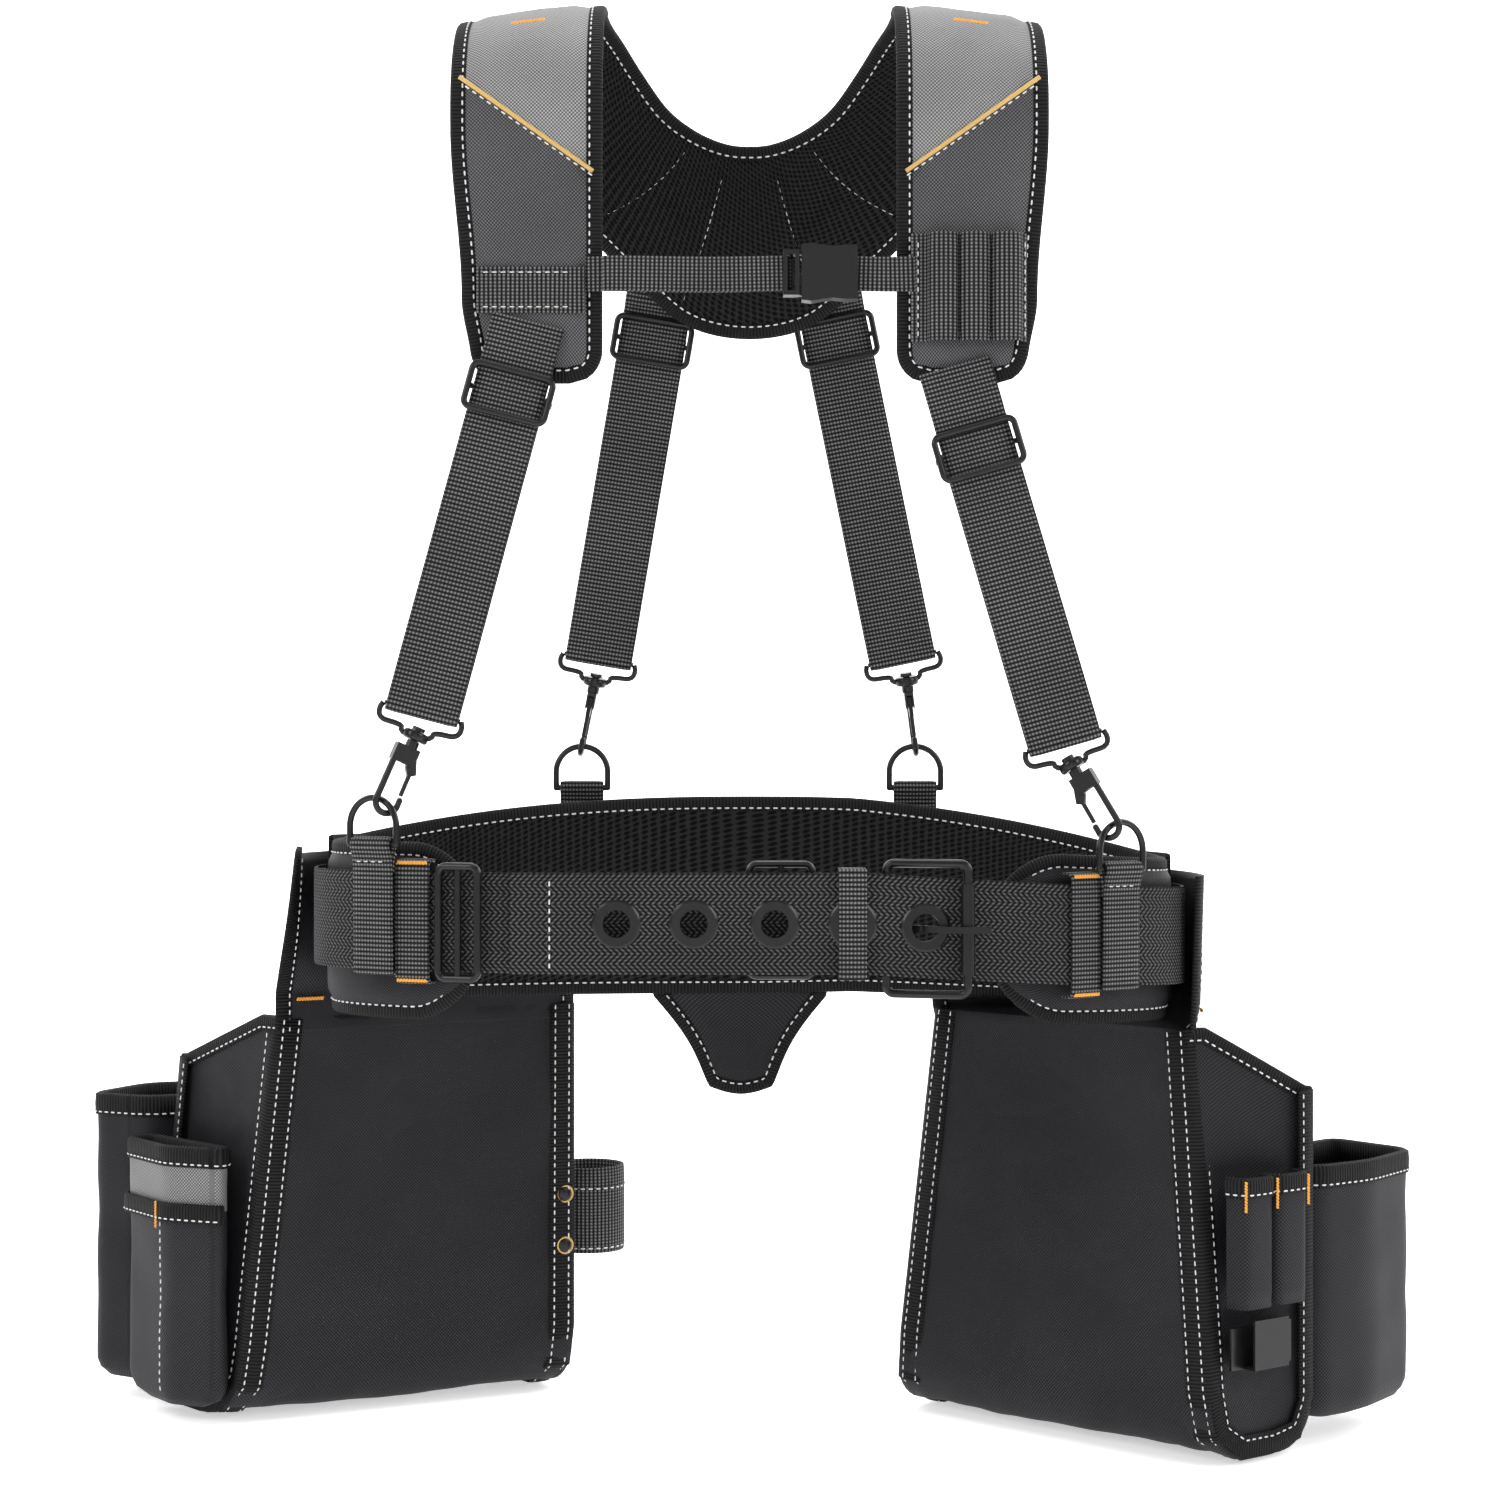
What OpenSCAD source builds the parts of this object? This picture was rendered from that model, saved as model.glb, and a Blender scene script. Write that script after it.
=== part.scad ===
// Carpenter's tool belt with a padded shoulder harness and two tool bags.
// Millimetres.  +Z up, the belt buckle faces -Y, the bags stand on z = 0.
// Origin: on the floor under the middle of the whole object.

/* [Webbing] */
// width of the waist webbing
belt_w = 51; // [40:1:64]
// thickness of the waist webbing
belt_t = 2.2; // [1.5:0.1:4]
// width of the harness webbing
strap_w = 38; // [25:1:50]
// thickness of the harness webbing
strap_t = 1.6; // [1:0.1:3]
// width of the chest webbing
chest_w = 18; // [15:1:25]

/* [Waist] */
// half width of the webbing loop
waist_a = 232; // [180:1:260]
// half depth of the loop at the front
waist_front = 97.6; // [80:0.1:120]
// half depth of the loop at the back
waist_back = 107; // [80:1:120]
// height of the middle of the webbing
belt_z = 286; // [250:1:320]
// thickness of the waist padding
pad_t = 9; // [6:0.5:14]

/* [Harness] */
// thickness of the shoulder padding
shoulder_t = 8; // [5:0.5:12]
// height of the chest strap
chest_z = 621; // [580:1:660]

/* [Hardware] */
// radius of the ring and bracket wire
wire_r = 1.7; // [1.2:0.1:2.5]
// radius of the belt buckle wire
buckle_r = 2.2; // [1.6:0.1:3]
// outer radius of a grommet
grommet_r = 12.3; // [9:0.1:16]
// radius of the hole in a grommet
grommet_hole_r = 7; // [4:0.1:10]

/* [Bags] */
// thickness of the bag walls
bag_t = 4; // [2:0.5:6]
// height of the back panels of the bags
bag_h = 226; // [180:1:260]

/* [Hidden] */
$fn = 48;
centre = [-6, 47.2, 0];
gap = 0.4;
power = 2.4;
layer = 2.9;
eye_drop = 13;
ring_half = 14.8;
ring_leg = 9;
bowl_r = 6;
bowl_z = -36.6;
// strap i: adjuster centre, bracket bar centre, ring bar centre, ring yaw, hook roll
fl_top = [-125, -53, 558];
fl_bar = [-168.09, -69.72, 393.32];
fl_ring = [-193.3, -71, 325.5];
fr_top = [119, -53, 529];
fr_bar = [161.81, -69.54, 378.4];
fr_ring = [190.6, -73.1, 313];
rl_top = [-55.5, 99.5, 607];
rl_bar = [-86.5, 104.04, 425.82];
rl_ring = [-96.5, 110.4, 352];
rr_top = [50, 99.5, 608];
rr_bar = [87.57, 104.03, 426.2];
rr_ring = [95.3, 110.4, 352];
fl_yaw = -30;
fr_yaw = 35;
lean = 35;

// where each hook grips its ring
fl_grip = ring_top(fl_ring, fl_yaw, lean);
fr_grip = ring_top(fr_ring, fr_yaw, -lean);
rl_grip = ring_top(rl_ring, 0, 0);
rr_grip = ring_top(rr_ring, 0, 0);

// bag plans, counted from the near corner of the back panel
left_bag = [[-285, 48], [-104, 135], [-149, 197], [-342, 107]];
right_bag = [[242, -53], [300, -8], [145, 150], [83, 89]];
left_bag_top = [[-260, 38], [-104, 135], [-149, 197], [-322, 98]];
right_bag_top = [[231, -32], [300, -8], [145, 150], [108, 98]];
left_outer = [[-346, 110.5], [-262, 149.5], [-290, 204], [-362, 178], [-384, 128]];
right_outer = [[304, -4], [338, 20], [372, 66], [336, 112], [263, 38]];

// ---- maths ----
function unit(v) = v / norm(v);
function waist_b(s) = s < 0 ? waist_front : waist_back;
function spow(v) = sign(v) * pow(abs(v), 2 / power);
function waist(a, off) = [(waist_a + off) * spow(cos(a)), (waist_b(sin(a)) + off) * spow(sin(a))];
function drop(x) = x > 60 ? (x - 60) * 0.06 : 0;
function put(p, z) = [p[0], p[1], z - drop(p[0])];
function slope(p, i) = unit(p[min(i + 1, len(p) - 1)] - p[max(i - 1, 0)]);
function inward(p, i, d) = let (n = len(p), a = p[(i + n - 1) % n], b = p[i], c = p[(i + 1) % n],
    u = unit(b - a), v = unit(c - b), m = [-u[1], u[0]], k = [-v[1], v[0]])
    b + (m + k) * d / (1 + m * k);
function inset(p, d) = [for (i = [0 : len(p) - 1]) inward(p, i, d)];
function tilt_x(d) = -asin(d[1]);
function tilt_y(d) = atan2(d[0], d[2]);
function turn_x(p, a) = [p[0], p[1] * cos(a) - p[2] * sin(a), p[1] * sin(a) + p[2] * cos(a)];
function turn_y(p, a) = [p[0] * cos(a) + p[2] * sin(a), p[1], p[2] * cos(a) - p[0] * sin(a)];
function eye_of(top, bar) = bar - unit(top - bar) * eye_drop;
function ring_top(ring, yaw, a) = ring + [ring_half * sin(a) * cos(yaw),
    ring_half * sin(a) * sin(yaw), ring_leg + ring_half * cos(a)];

// ---- shared shapes ----
// moves the design so that the origin is under the middle of the whole object
module at_origin() {
    translate(-centre)
        children();
}

// a strip swept through stations p with edge vectors u and half thickness h
module strip(p, u, h) {
    n = len(p);
    k = [for (i = [0 : n - 1]) unit(cross(slope(p, i), u[i])) * h];
    pts = [for (i = [0 : n - 1]) for (q = [[1, 1], [1, -1], [-1, -1], [-1, 1]])
        p[i] + u[i] * q[0] + k[i] * q[1]];
    sides = [for (i = [0 : n - 2]) for (j = [0 : 3]) for (f = [0, 1])
        f == 0 ? [4 * i + j, 4 * i + 4 + j, 4 * i + (j + 1) % 4]
        : [4 * i + (j + 1) % 4, 4 * i + 4 + j, 4 * i + 4 + (j + 1) % 4]];
    e = 4 * n - 4;
    polyhedron(points = pts, faces = concat(sides, [[0, 1, 2], [0, 2, 3],
        [e, e + 2, e + 1], [e, e + 3, e + 2]]));
}

// upright webbing along plan points
module web(p, z, w, t) {
    strip([for (q = p) put(q, z)], [for (q = p) [0, 0, w / 2]], t / 2);
}

module rod(a, b, r) {
    d = b - a;
    translate(a)
        rotate([tilt_x(unit(d)), tilt_y(unit(d)), 0])
            cylinder(h = norm(d), r = r);
}

// a bent wire through a list of points
module wire(p, r) {
    for (i = [0 : len(p) - 2]) {
        rod(p[i], p[i + 1], r);
    }
    for (i = [0 : len(p) - 1]) {
        translate(p[i])
            sphere(r = r);
    }
}

// place children with local +Z along the strap, origin on the bracket bar
module along(top, bar) {
    d = unit(top - bar);
    translate(bar)
        rotate([tilt_x(d), tilt_y(d), 0])
            children();
}

// place children at the swivel eye with local -Z towards the grip point on the ring
module at_eye(top, bar, grip, roll) {
    e = eye_of(top, bar);
    d = unit(e - grip);
    translate(e)
        rotate([tilt_x(d), tilt_y(d), 0])
            rotate([0, 0, roll])
                children();
}

module wire_frame(w, h, c, r) {
    for (s = [-1, 1]) {
        translate([s * w / 2, 0, c - h / 2])
            cylinder(h = h - 2 * c, r = r);
        translate([c - w / 2, 0, s * h / 2])
            rotate([0, 90, 0])
                cylinder(h = w - 2 * c, r = r);
        for (t = [-1, 1]) {
            translate([s * (w / 2 - c), 0, t * (h / 2 - c)])
                rotate([90, 0, 0])
                    rotate([0, 0, s > 0 ? (t > 0 ? 0 : 270) : (t > 0 ? 90 : 180)])
                        rotate_extrude(angle = 90)
                            translate([c, 0])
                                circle(r = r, $fn = 24);
        }
    }
}

// ---- shoulder harness ----
// side section of the harness padding: up the front, over the top, down the back
module shoulder_section() {
    mid = 17;
    for (s = [-1, 1]) {
        translate([s < 0 ? -51 : 82, 560])
            square([shoulder_t, 150]);
    }
    difference() {
        intersection() {
            translate([mid + 2.5, 710])
                scale([1, 0.9])
                    circle(r = 70.5, $fn = 96);
            translate([-80, 710])
                square([200, 80]);
        }
        translate([mid + 2.5, 710])
            scale([1, 0.9])
                circle(r = 70.5 - shoulder_t, $fn = 96);
    }
}

module shoulder_shell(side) {
    translate([side * 116, 0, 776])
        rotate([0, side * 7, 0])
            translate([-side * 116, 0, -776])
                rotate([90, 0, 90])
                    translate([0, 0, -190])
                        linear_extrude(height = 380)
                            shoulder_section();
}

module prism_y(p, y0, y1) {
    translate([0, y1, 0])
        rotate([90, 0, 0])
            linear_extrude(height = y1 - y0)
                polygon(p);
}

module shoulder_pad(side) {
    color("dimgray")
        at_origin()
        intersection() {
            shoulder_shell(side);
            prism_y([for (q = [[78, 800], [79, 592], [83, 578], [93, 568], [118, 566],
                [134, 572], [144, 588], [148, 610], [155, 690], [155, 800]])
                [side * q[0], q[1]]], -60, 19);
        }
}

module left_shoulder_pad() {
    shoulder_pad(-1);
}

module right_shoulder_pad() {
    shoulder_pad(1);
}

module back_yoke() {
    half = [[0, 711], [20, 716], [38, 724], [52, 738], [68, 764], [79, 800], [156, 800],
        [150, 740], [104, 682], [70, 652], [58, 632], [38, 617], [0, 608]];
    color("dimgray")
        at_origin()
        for (s = [-1, 1]) {
            intersection() {
                shoulder_shell(s);
                prism_y([for (q = half) [s * q[0], q[1]]], 19.3, 120);
            }
        }
}

module left_chest_band() {
    color("black")
        at_origin()
        translate([-142, -52.9, 601])
            cube([55, 1.6, 24]);
}

// webbing sleeve for pencils, three tubes open at both ends
module pen_sleeve() {
    color("black")
        at_origin()
        translate([84, -60.2, 586])
            difference() {
                cube([60, 8.9, 56]);
                for (i = [0 : 2]) {
                    translate([9 + i * 16.5, 1.6, -1])
                        cube([14.5, 5.7, 58]);
                }
            }
}

module chest_strap_left() {
    color("black")
        at_origin()
        difference() {
            translate([-76, -57.4, chest_z - chest_w / 2])
                cube([97, 4.4, chest_w]);
            translate([-60, -55.6, chest_z - chest_w / 2 - 1])
                cube([79.5, 0.8, chest_w + 2]);
        }
}

module chest_strap_right() {
    color("black")
        at_origin()
        translate([52.5, -56, chest_z - chest_w / 2])
            cube([31, 1.8, chest_w]);
}

module chest_buckle_socket() {
    color("black")
        at_origin()
        difference() {
            translate([27, -61, chest_z])
                rotate([-90, 0, 0])
                    linear_extrude(height = 11)
                        polygon([[0, -14.4], [5, -15], [11, -14], [16, -13.4], [22, -14],
                            [29, -14], [29, 14], [22, 14], [16, 13.4], [11, 14],
                            [5, 15], [0, 14.4]]);
            translate([26, -59, chest_z - 12.2])
                cube([20, 7, 24.4]);
            translate([51.8, -57.5, chest_z - 10])
                cube([6, 4, 20]);
        }
}

module chest_buckle_prongs() {
    color("black")
        at_origin() {
        for (s = [-1, 1]) {
            translate([17.5, -58, chest_z + s * 10.6 - 1.2])
                cube([26, 5.4, 2.4]);
        }
        for (x = [17.5, 23.6]) {
            translate([x, -60.4, chest_z - 11.8])
                cube([2.2, 2.6, 23.6]);
        }
        translate([20.6, -52.6, chest_z - 11.8])
            cube([2.2, 2, 23.6]);
        for (s = [-1, 1]) {
            translate([17.5, -60, chest_z + s * 10.6 - 1.2])
                cube([8.3, 9, 2.4]);
        }
    }
}

// ---- suspender straps ----
// webbing from the pad, down through the adjuster, round the bracket bar and back up
module strap(top, bar, up, lean) {
    l = norm(top - bar);
    path = concat(
        [[0, lean, l + up], [0, lean, l + 22], [0, -layer, l + 12], [0, -layer, l * 0.6],
            [0, -layer, l * 0.3], [0, -layer, 0]],
        [for (a = [30 : 30 : 150]) [0, -layer * cos(a), -layer * sin(a)]],
        [[0, layer, 0], [0, layer, l * 0.5], [0, layer, l + 4]]);
    color("black")
        at_origin()
        along(top, bar)
            strip(path, [for (q = path) [strap_w / 2, 0, 0]], strap_t / 2);
}

module front_left_strap() {
    strap(fl_top, fl_bar, 40, -3.4);
}

module front_right_strap() {
    strap(fr_top, fr_bar, 46, -4.2);
}

module rear_left_strap() {
    strap(rl_top, rl_bar, 50, -7.4);
}

module rear_right_strap() {
    strap(rr_top, rr_bar, 50, -7.4);
}

module adjuster(top, bar) {
    half = strap_w / 2 + 2.5;
    color("black")
        at_origin()
        along(top, bar)
            translate([0, 0, norm(top - bar)]) {
                translate([0, -layer - strap_t / 2 - gap - wire_r, 0])
                    wire_frame(2 * half, 24, 4, wire_r);
                translate([-half - 1.5, 0, 0])
                    rotate([0, 90, 0])
                        cylinder(h = 2 * half + 3, r = 1.5);
                for (s = [-1, 1]) {
                    translate([s * half - 1.2, -6, -1.2])
                        cube([2.4, 6, 2.4]);
                }
            }
}

module front_left_adjuster() {
    adjuster(fl_top, fl_bar);
}

module front_right_adjuster() {
    adjuster(fr_top, fr_bar);
}

module rear_left_adjuster() {
    adjuster(rl_top, rl_bar);
}

module rear_right_adjuster() {
    adjuster(rr_top, rr_bar);
}

// wire loop in the strap fold, with the swivel eye below it
module bracket(top, bar, grip) {
    half = strap_w / 2;
    color("black")
        at_origin() {
        along(top, bar)
            translate([0, 1.25, 0])
                rotate([90, 0, 0])
                    linear_extrude(height = 2.5)
                        difference() {
                            polygon([[-half - 3.6, 1.3], [half + 3.6, 1.3], [half + 3, -8],
                                [half, -10.4], [6, -12.6], [4, -14.6], [-4, -14.6],
                                [-6, -12.6], [-half, -10.4], [-half - 3, -8]]);
                            polygon([[-half - 0.6, -1.3], [half + 0.6, -1.3], [half, -6.2],
                                [half - 2, -7.6], [7, -8.6], [-7, -8.6], [2 - half, -7.6],
                                [-half, -6.2]]);
                            translate([-5.7, -18])
                                square([11.4, 10]);
                        }
        at_eye(top, bar, grip, 0)
            difference() {
                translate([0, 0, -2.5])
                    cylinder(h = 5, r = 7);
                translate([0, 0, -3])
                    cylinder(h = 6, r = 2.3);
            }
    }
}

module front_left_bracket() {
    bracket(fl_top, fl_bar, fl_grip);
}

module front_right_bracket() {
    bracket(fr_top, fr_bar, fr_grip);
}

module rear_left_bracket() {
    bracket(rl_top, rl_bar, rl_grip);
}

module rear_right_bracket() {
    bracket(rr_top, rr_bar, rr_grip);
}

// snap hook: swivel post, forked body, spine and bowl; the gate side is local +X
module hook() {
    color("black") {
        translate([0, 0, -6])
            cylinder(h = 9.5, r = 1.9);
        translate([0, 0, 2.9])
            cylinder(h = 1.8, r = 3.4);
        translate([0, 0, -6.6])
            cylinder(h = 3.7, r = 3.4);
        difference() {
            translate([-8, -2.6, -15.5])
                cube([13, 5.2, 9.2]);
            translate([-1.6, -1.6, -17])
                cube([9, 3.2, 8.9]);
        }
        translate([2.6, 2.6, -12])
            rotate([90, 0, 0])
                cylinder(h = 5.2, r = 1);
        wire([[-bowl_r, 0, -14], [-bowl_r, 0, bowl_z]], wire_r);
        translate([0, 0, bowl_z])
            rotate([90, 0, 0])
                rotate([0, 0, 180])
                    rotate_extrude(angle = 180)
                        translate([bowl_r, 0])
                            circle(r = wire_r, $fn = 24);
        wire([[bowl_r, 0, bowl_z], [bowl_r, 0, bowl_z + 3]], wire_r - 0.1);
    }
}

// spring gate: a lever on the hook rivet with a rod that closes the bowl
module gate() {
    color("black") {
        difference() {
            translate([0, 1.2, 0])
                rotate([90, 0, 0])
                    linear_extrude(height = 2.4)
                        polygon([[0.4, -9], [4.6, -9], [8.4, -18.5], [4.6, -21], [1.6, -17]]);
            translate([2.6, 3, -12])
                rotate([90, 0, 0])
                    cylinder(h = 6, r = 1.35);
        }
        rod([5.2, 0, -18.5], [5.4, 0, bowl_z + 5.3], 1.2);
    }
}

module front_left_hook() {
    at_origin()
        at_eye(fl_top, fl_bar, fl_grip, 25)
            hook();
}

module front_right_hook() {
    at_origin()
        at_eye(fr_top, fr_bar, fr_grip, 155)
            hook();
}

module rear_left_hook() {
    at_origin()
        at_eye(rl_top, rl_bar, rl_grip, -90)
            hook();
}

module rear_right_hook() {
    at_origin()
        at_eye(rr_top, rr_bar, rr_grip, -90)
            hook();
}

module front_left_gate() {
    at_origin()
        at_eye(fl_top, fl_bar, fl_grip, 25)
            gate();
}

module front_right_gate() {
    at_origin()
        at_eye(fr_top, fr_bar, fr_grip, 155)
            gate();
}

module rear_left_gate() {
    at_origin()
        at_eye(rl_top, rl_bar, rl_grip, -90)
            gate();
}

module rear_right_gate() {
    at_origin()
        at_eye(rr_top, rr_bar, rr_grip, -90)
            gate();
}

// D-ring: straight bar at the bottom, round top
module ring(pos, yaw) {
    color("black")
        at_origin()
        translate(pos)
            rotate([0, 0, yaw]) {
                wire([[-ring_half, 0, ring_leg], [-ring_half, 0, 0], [ring_half, 0, 0],
                    [ring_half, 0, ring_leg]], wire_r);
                translate([0, 0, ring_leg])
                    rotate([90, 0, 0])
                        rotate_extrude(angle = 180)
                            translate([ring_half, 0])
                                circle(r = wire_r, $fn = 24);
            }
}

module front_left_ring() {
    ring(fl_ring, fl_yaw);
}

module front_right_ring() {
    ring(fr_ring, fr_yaw);
}

module rear_left_ring() {
    ring(rl_ring, 0);
}

module rear_right_ring() {
    ring(rr_ring, 0);
}

// webbing that carries a front ring, down the face of the waist webbing and under it
module ring_loop(pos, yaw, low) {
    color("black")
        at_origin()
            translate(pos)
                rotate([0, 0, yaw])
                    translate([-12.5, 0, 0])
                        rotate([90, 0, 90])
                            linear_extrude(height = 25)
                                difference() {
                                    union() {
                                        circle(r = 4);
                                        translate([-0.9, -low])
                                            square([1.8, low]);
                                        translate([-0.9, -low])
                                            square([9, 1.8]);
                                    }
                                    circle(r = wire_r + gap);
                                }
}

module front_left_ring_loop() {
    ring_loop(fl_ring, fl_yaw, 67.2);
}

module front_right_ring_loop() {
    ring_loop(fr_ring, fr_yaw, 62.6);
}

module rear_ring_tabs() {
    color("black")
        at_origin()
        for (p = [rl_ring, rr_ring]) {
            translate(p + [-12, 0, 0])
                rotate([90, 0, 90])
                    linear_extrude(height = 24)
                        difference() {
                            union() {
                                circle(r = 3.9);
                                translate([-0.9, -42])
                                    square([1.8, 40]);
                            }
                            circle(r = wire_r + gap);
                        }
        }
}

// ---- waist ----
function pad_low(a) = 236 + 6 * max(0, cos(a));
function pad_top(a) = 325 + 21 * pow(max(0, sin(a)), 2);
function pad_end(a) = min(1, sqrt(max(0.02, 1 - pow(1 - min(a + 61, 236 - a) / 14, 2))));
function pad_mid(a) = (pad_top(a) + pad_low(a)) / 2;
function pad_half(a) = (pad_top(a) - pad_low(a)) / 2 * (min(a + 61, 236 - a) < 14 ? pad_end(a) : 1);

module waist_pad() {
    steps = concat([-61, -60, -58, -55, -51, -47], [for (a = [-40 : 8 : 216]) a],
        [222, 226, 230, 233, 235, 236]);
    color("dimgray")
        at_origin()
        strip([for (a = steps) put(waist(a, -10.8), pad_mid(a))],
            [for (a = steps) [0, 0, pad_half(a)]], pad_t / 2);
}

// outer skin of the waist pad that hides the webbing behind the wearer
module waist_sleeve() {
    steps = [for (a = [14 : 8 : 166]) a];
    color("dimgray")
        at_origin()
        strip([for (a = steps) put(waist(a, 4.2), 286)], [for (a = steps) [0, 0, 40]], 1.5);
}

module tail_flap() {
    color("dimgray")
        at_origin()
        prism_y([[-54, 233.5], [43, 233.5], [32, 208], [22, 191], [12, 182], [-22, 182],
            [-32, 191], [-43, 208]], 97, 103);
}

// short end of the belt: folded round the buckle bar, then back round the left hip
module buckle_strap() {
    bar = [69.4, -91.3];
    r = buckle_r + gap + belt_t / 2;
    fold = [for (a = [-90 : 20 : 90]) bar + r * [cos(a), sin(a)]];
    path = concat([[22, -91.3 - r], [50, -91.3 - r]], fold,
        [[50, -91.3 + r], [0, -87.7], [-60, -88.4], [-100, -89], [-121, -88.4], [-140, -84.2]],
        [for (a = [222 : -6 : 96]) waist(a, 0)]);
    color("black")
        at_origin()
        difference() {
            web(path, belt_z, belt_w, belt_t);
            translate([60, -100, belt_z - 5])
                cube([20, 20, 10]);
        }
}

// long end of the belt: from the back round the right hip, through the buckle, to the tip
module tongue_strap() {
    path = concat([for (a = [84 : -6 : -36]) waist(a, 0)],
        [[165, -83.5], [140, -91], [118, -96], [104, -97.4], [80, -99], [60, -99.3],
            [0, -98.6], [-60, -97.4], [-100, -95.6], [-117, -94.8], [-121, -94.6]]);
    holes = [-67, -28, 12.8, 52, 88.6];
    color("black")
        at_origin()
        difference() {
            web(path, belt_z, belt_w, belt_t);
            for (x = holes) {
                translate([x, -80, belt_z - drop(x)])
                    rotate([90, 0, 0])
                        cylinder(h = 30, r = grommet_hole_r + 1.2);
            }
        }
}

module grommet() {
    rotate([90, 0, 0])
        rotate_extrude()
            polygon([[grommet_hole_r, -2.1], [grommet_r - 1, -2.1], [grommet_r, -1.4],
                [grommet_hole_r + 0.9, -1.4], [grommet_hole_r + 0.9, 1.4], [grommet_r, 1.4],
                [grommet_r - 1, 2.1], [grommet_hole_r, 2.1]]);
}

module tongue_grommets() {
    color("black")
        at_origin()
        for (p = [[-67, -97.1, 2.6], [-28, -98.05, 1.15], [12.8, -98.75, 0.67],
            [52, -99.2, 0.67], [88.6, -98.43, -3.8]]) {
            translate([p[0], p[1], belt_z - drop(p[0])])
                rotate([0, 0, -p[2]])
                    grommet();
        }
}

module buckle_place() {
    translate([69.4, -91.3, belt_z - 2.5])
        rotate([0, 0, -15.5])
            translate([21, 0, 0])
                children();
}

module buckle_frame() {
    color("black")
        at_origin()
        buckle_place()
            wire_frame(42, 66, 4, buckle_r);
}

module buckle_roller() {
    color("black")
        at_origin()
        buckle_place()
            translate([21, 0, -23])
                difference() {
                    cylinder(h = 46, r = 3.5);
                    translate([0, 0, -1])
                        cylinder(h = 48, r = buckle_r + 0.35);
                }
}

// flat bent prong: an eye round the bar and a tail that rests on the roller
module buckle_prong() {
    z = belt_z - 2.5;
    line = [[71, -93], [82, -94], [88, -97], [94, -102.5], [100, -107.2], [108, -108.6],
        [121, -108]];
    n = len(line);
    out = [for (i = [0 : n - 1]) let (t = slope(line, i)) [-t[1], t[0]] * 1.5];
    color("black")
        at_origin()
            difference() {
                translate([0, 0, z - 1.7])
                    linear_extrude(height = 3.4)
                        union() {
                            translate([69.4, -91.3])
                                circle(r = 4.4);
                            polygon(concat([for (i = [0 : n - 1]) line[i] + out[i]],
                                [for (i = [n - 1 : -1 : 0]) line[i] - out[i]]));
                        }
                translate([69.4, -91.3, z - 3])
                    cylinder(h = 6, r = buckle_r + 0.35);
            }
}

module tube_x(x0, x1, y0, y1, z0, z1, t) {
    translate([x0, 0, 0])
        rotate([90, 0, 90])
            linear_extrude(height = x1 - x0)
                difference() {
                    translate([y0, z0])
                        square([y1 - y0, z1 - z0]);
                    translate([y0 + t, z0 + t])
                        square([y1 - y0 - 2 * t, z1 - z0 - 2 * t]);
                }
}

module belt_keeper() {
    color("black")
        at_origin()
        tube_x(45, 59, -104.4, -84, belt_z - 28, belt_z + 28, 1.6);
}

module belt_slider() {
    color("black")
        at_origin()
        translate([-147, -83, belt_z])
            rotate([0, 0, -20]) {
                translate([0, -belt_t / 2 - gap - 2, 0])
                    wire_frame(22, belt_w + 6, 4, 2);
                translate([0, -belt_t / 2 - gap - 2, -belt_w / 2 - 3])
                    cylinder(h = belt_w + 6, r = 1.8);
            }
}

module spare_slider() {
    color("black")
        at_origin()
        translate([16, -81.5, belt_z + 1]) {
            wire_frame(32, belt_w + 6, 4, 1.8);
            translate([0, 0, -belt_w / 2 - 3])
                cylinder(h = belt_w + 6, r = 1.6);
        }
}

// narrow webbing loop sewn to the wing of the pad, round the waist webbing
module hip_loop(x, y, yaw, z) {
    color("black")
        at_origin()
        translate([x, y, z])
            rotate([0, 0, yaw])
                rotate([90, 0, 90])
                    linear_extrude(height = 17.6, center = true)
                        polygon([[-3.6, -32], [5.6, -32], [5.6, -30.4], [-1.9, -30.4],
                            [-1.9, 30.4], [5.6, 30.4], [5.6, 32], [-3.6, 32]]);
}

module left_hip_loop() {
    hip_loop(-171.5, -73.8, -20, belt_z);
}

module right_hip_loop() {
    hip_loop(170, -79.9, 35, belt_z - 6.8);
}

// ---- tool bags ----
// sloping upper cloth that ties the back panel of a bag to the waist, outside the padding
function outer(p, q) = norm([p[0] / waist_a, p[1] / waist_back])
    > norm([q[0] / waist_a, q[1] / waist_back]) ? p : q;

module hanger(foot0, foot1, a0, a1) {
    n = 16;
    angles = [for (i = [0 : n]) a0 + (a1 - a0) * i / n];
    low = [for (i = [0 : n]) let (q = outer(foot0 + (foot1 - foot0) * i / n, waist(angles[i], 10)))
        [q[0], q[1], bag_h + 1.2]];
    top = [for (a = angles) put(waist(a, 11), 318)];
    color("black")
        at_origin()
        strip((low + top) / 2, (top - low) / 2, 1.5);
}

module left_bag_hanger() {
    hanger([-261, 40], [-106, 136.5], 183, 122);
}

module right_bag_hanger() {
    hanger([232, -31], [108, 99], -14, 68);
}

// solid between a foot outline and a top outline
module loft(p, q, z0, z1) {
    n = len(p);
    polyhedron(points = concat([for (a = p) [a[0], a[1], z0]], [for (a = q) [a[0], a[1], z1]]),
        faces = concat([[for (i = [0 : n - 1]) i], [for (i = [n - 1 : -1 : 0]) n + i]],
            [for (i = [0 : n - 1]) for (f = [0, 1]) let (j = (i + 1) % n)
                f == 0 ? [i, i + n, j] : [j, i + n, j + n]]));
}

function level(p, q, z) = [for (i = [0 : len(p) - 1]) p[i] + (q[i] - p[i]) * z / bag_h];

module bag_body(p, q, cut) {
    color("black")
        at_origin()
        difference() {
            loft(p, q, 0, bag_h);
            loft(inset(level(p, q, bag_t), bag_t), inset(level(p, q, bag_h + 20), bag_t),
                bag_t, bag_h + 20);
            cut_top(cut);
        }
}

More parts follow.
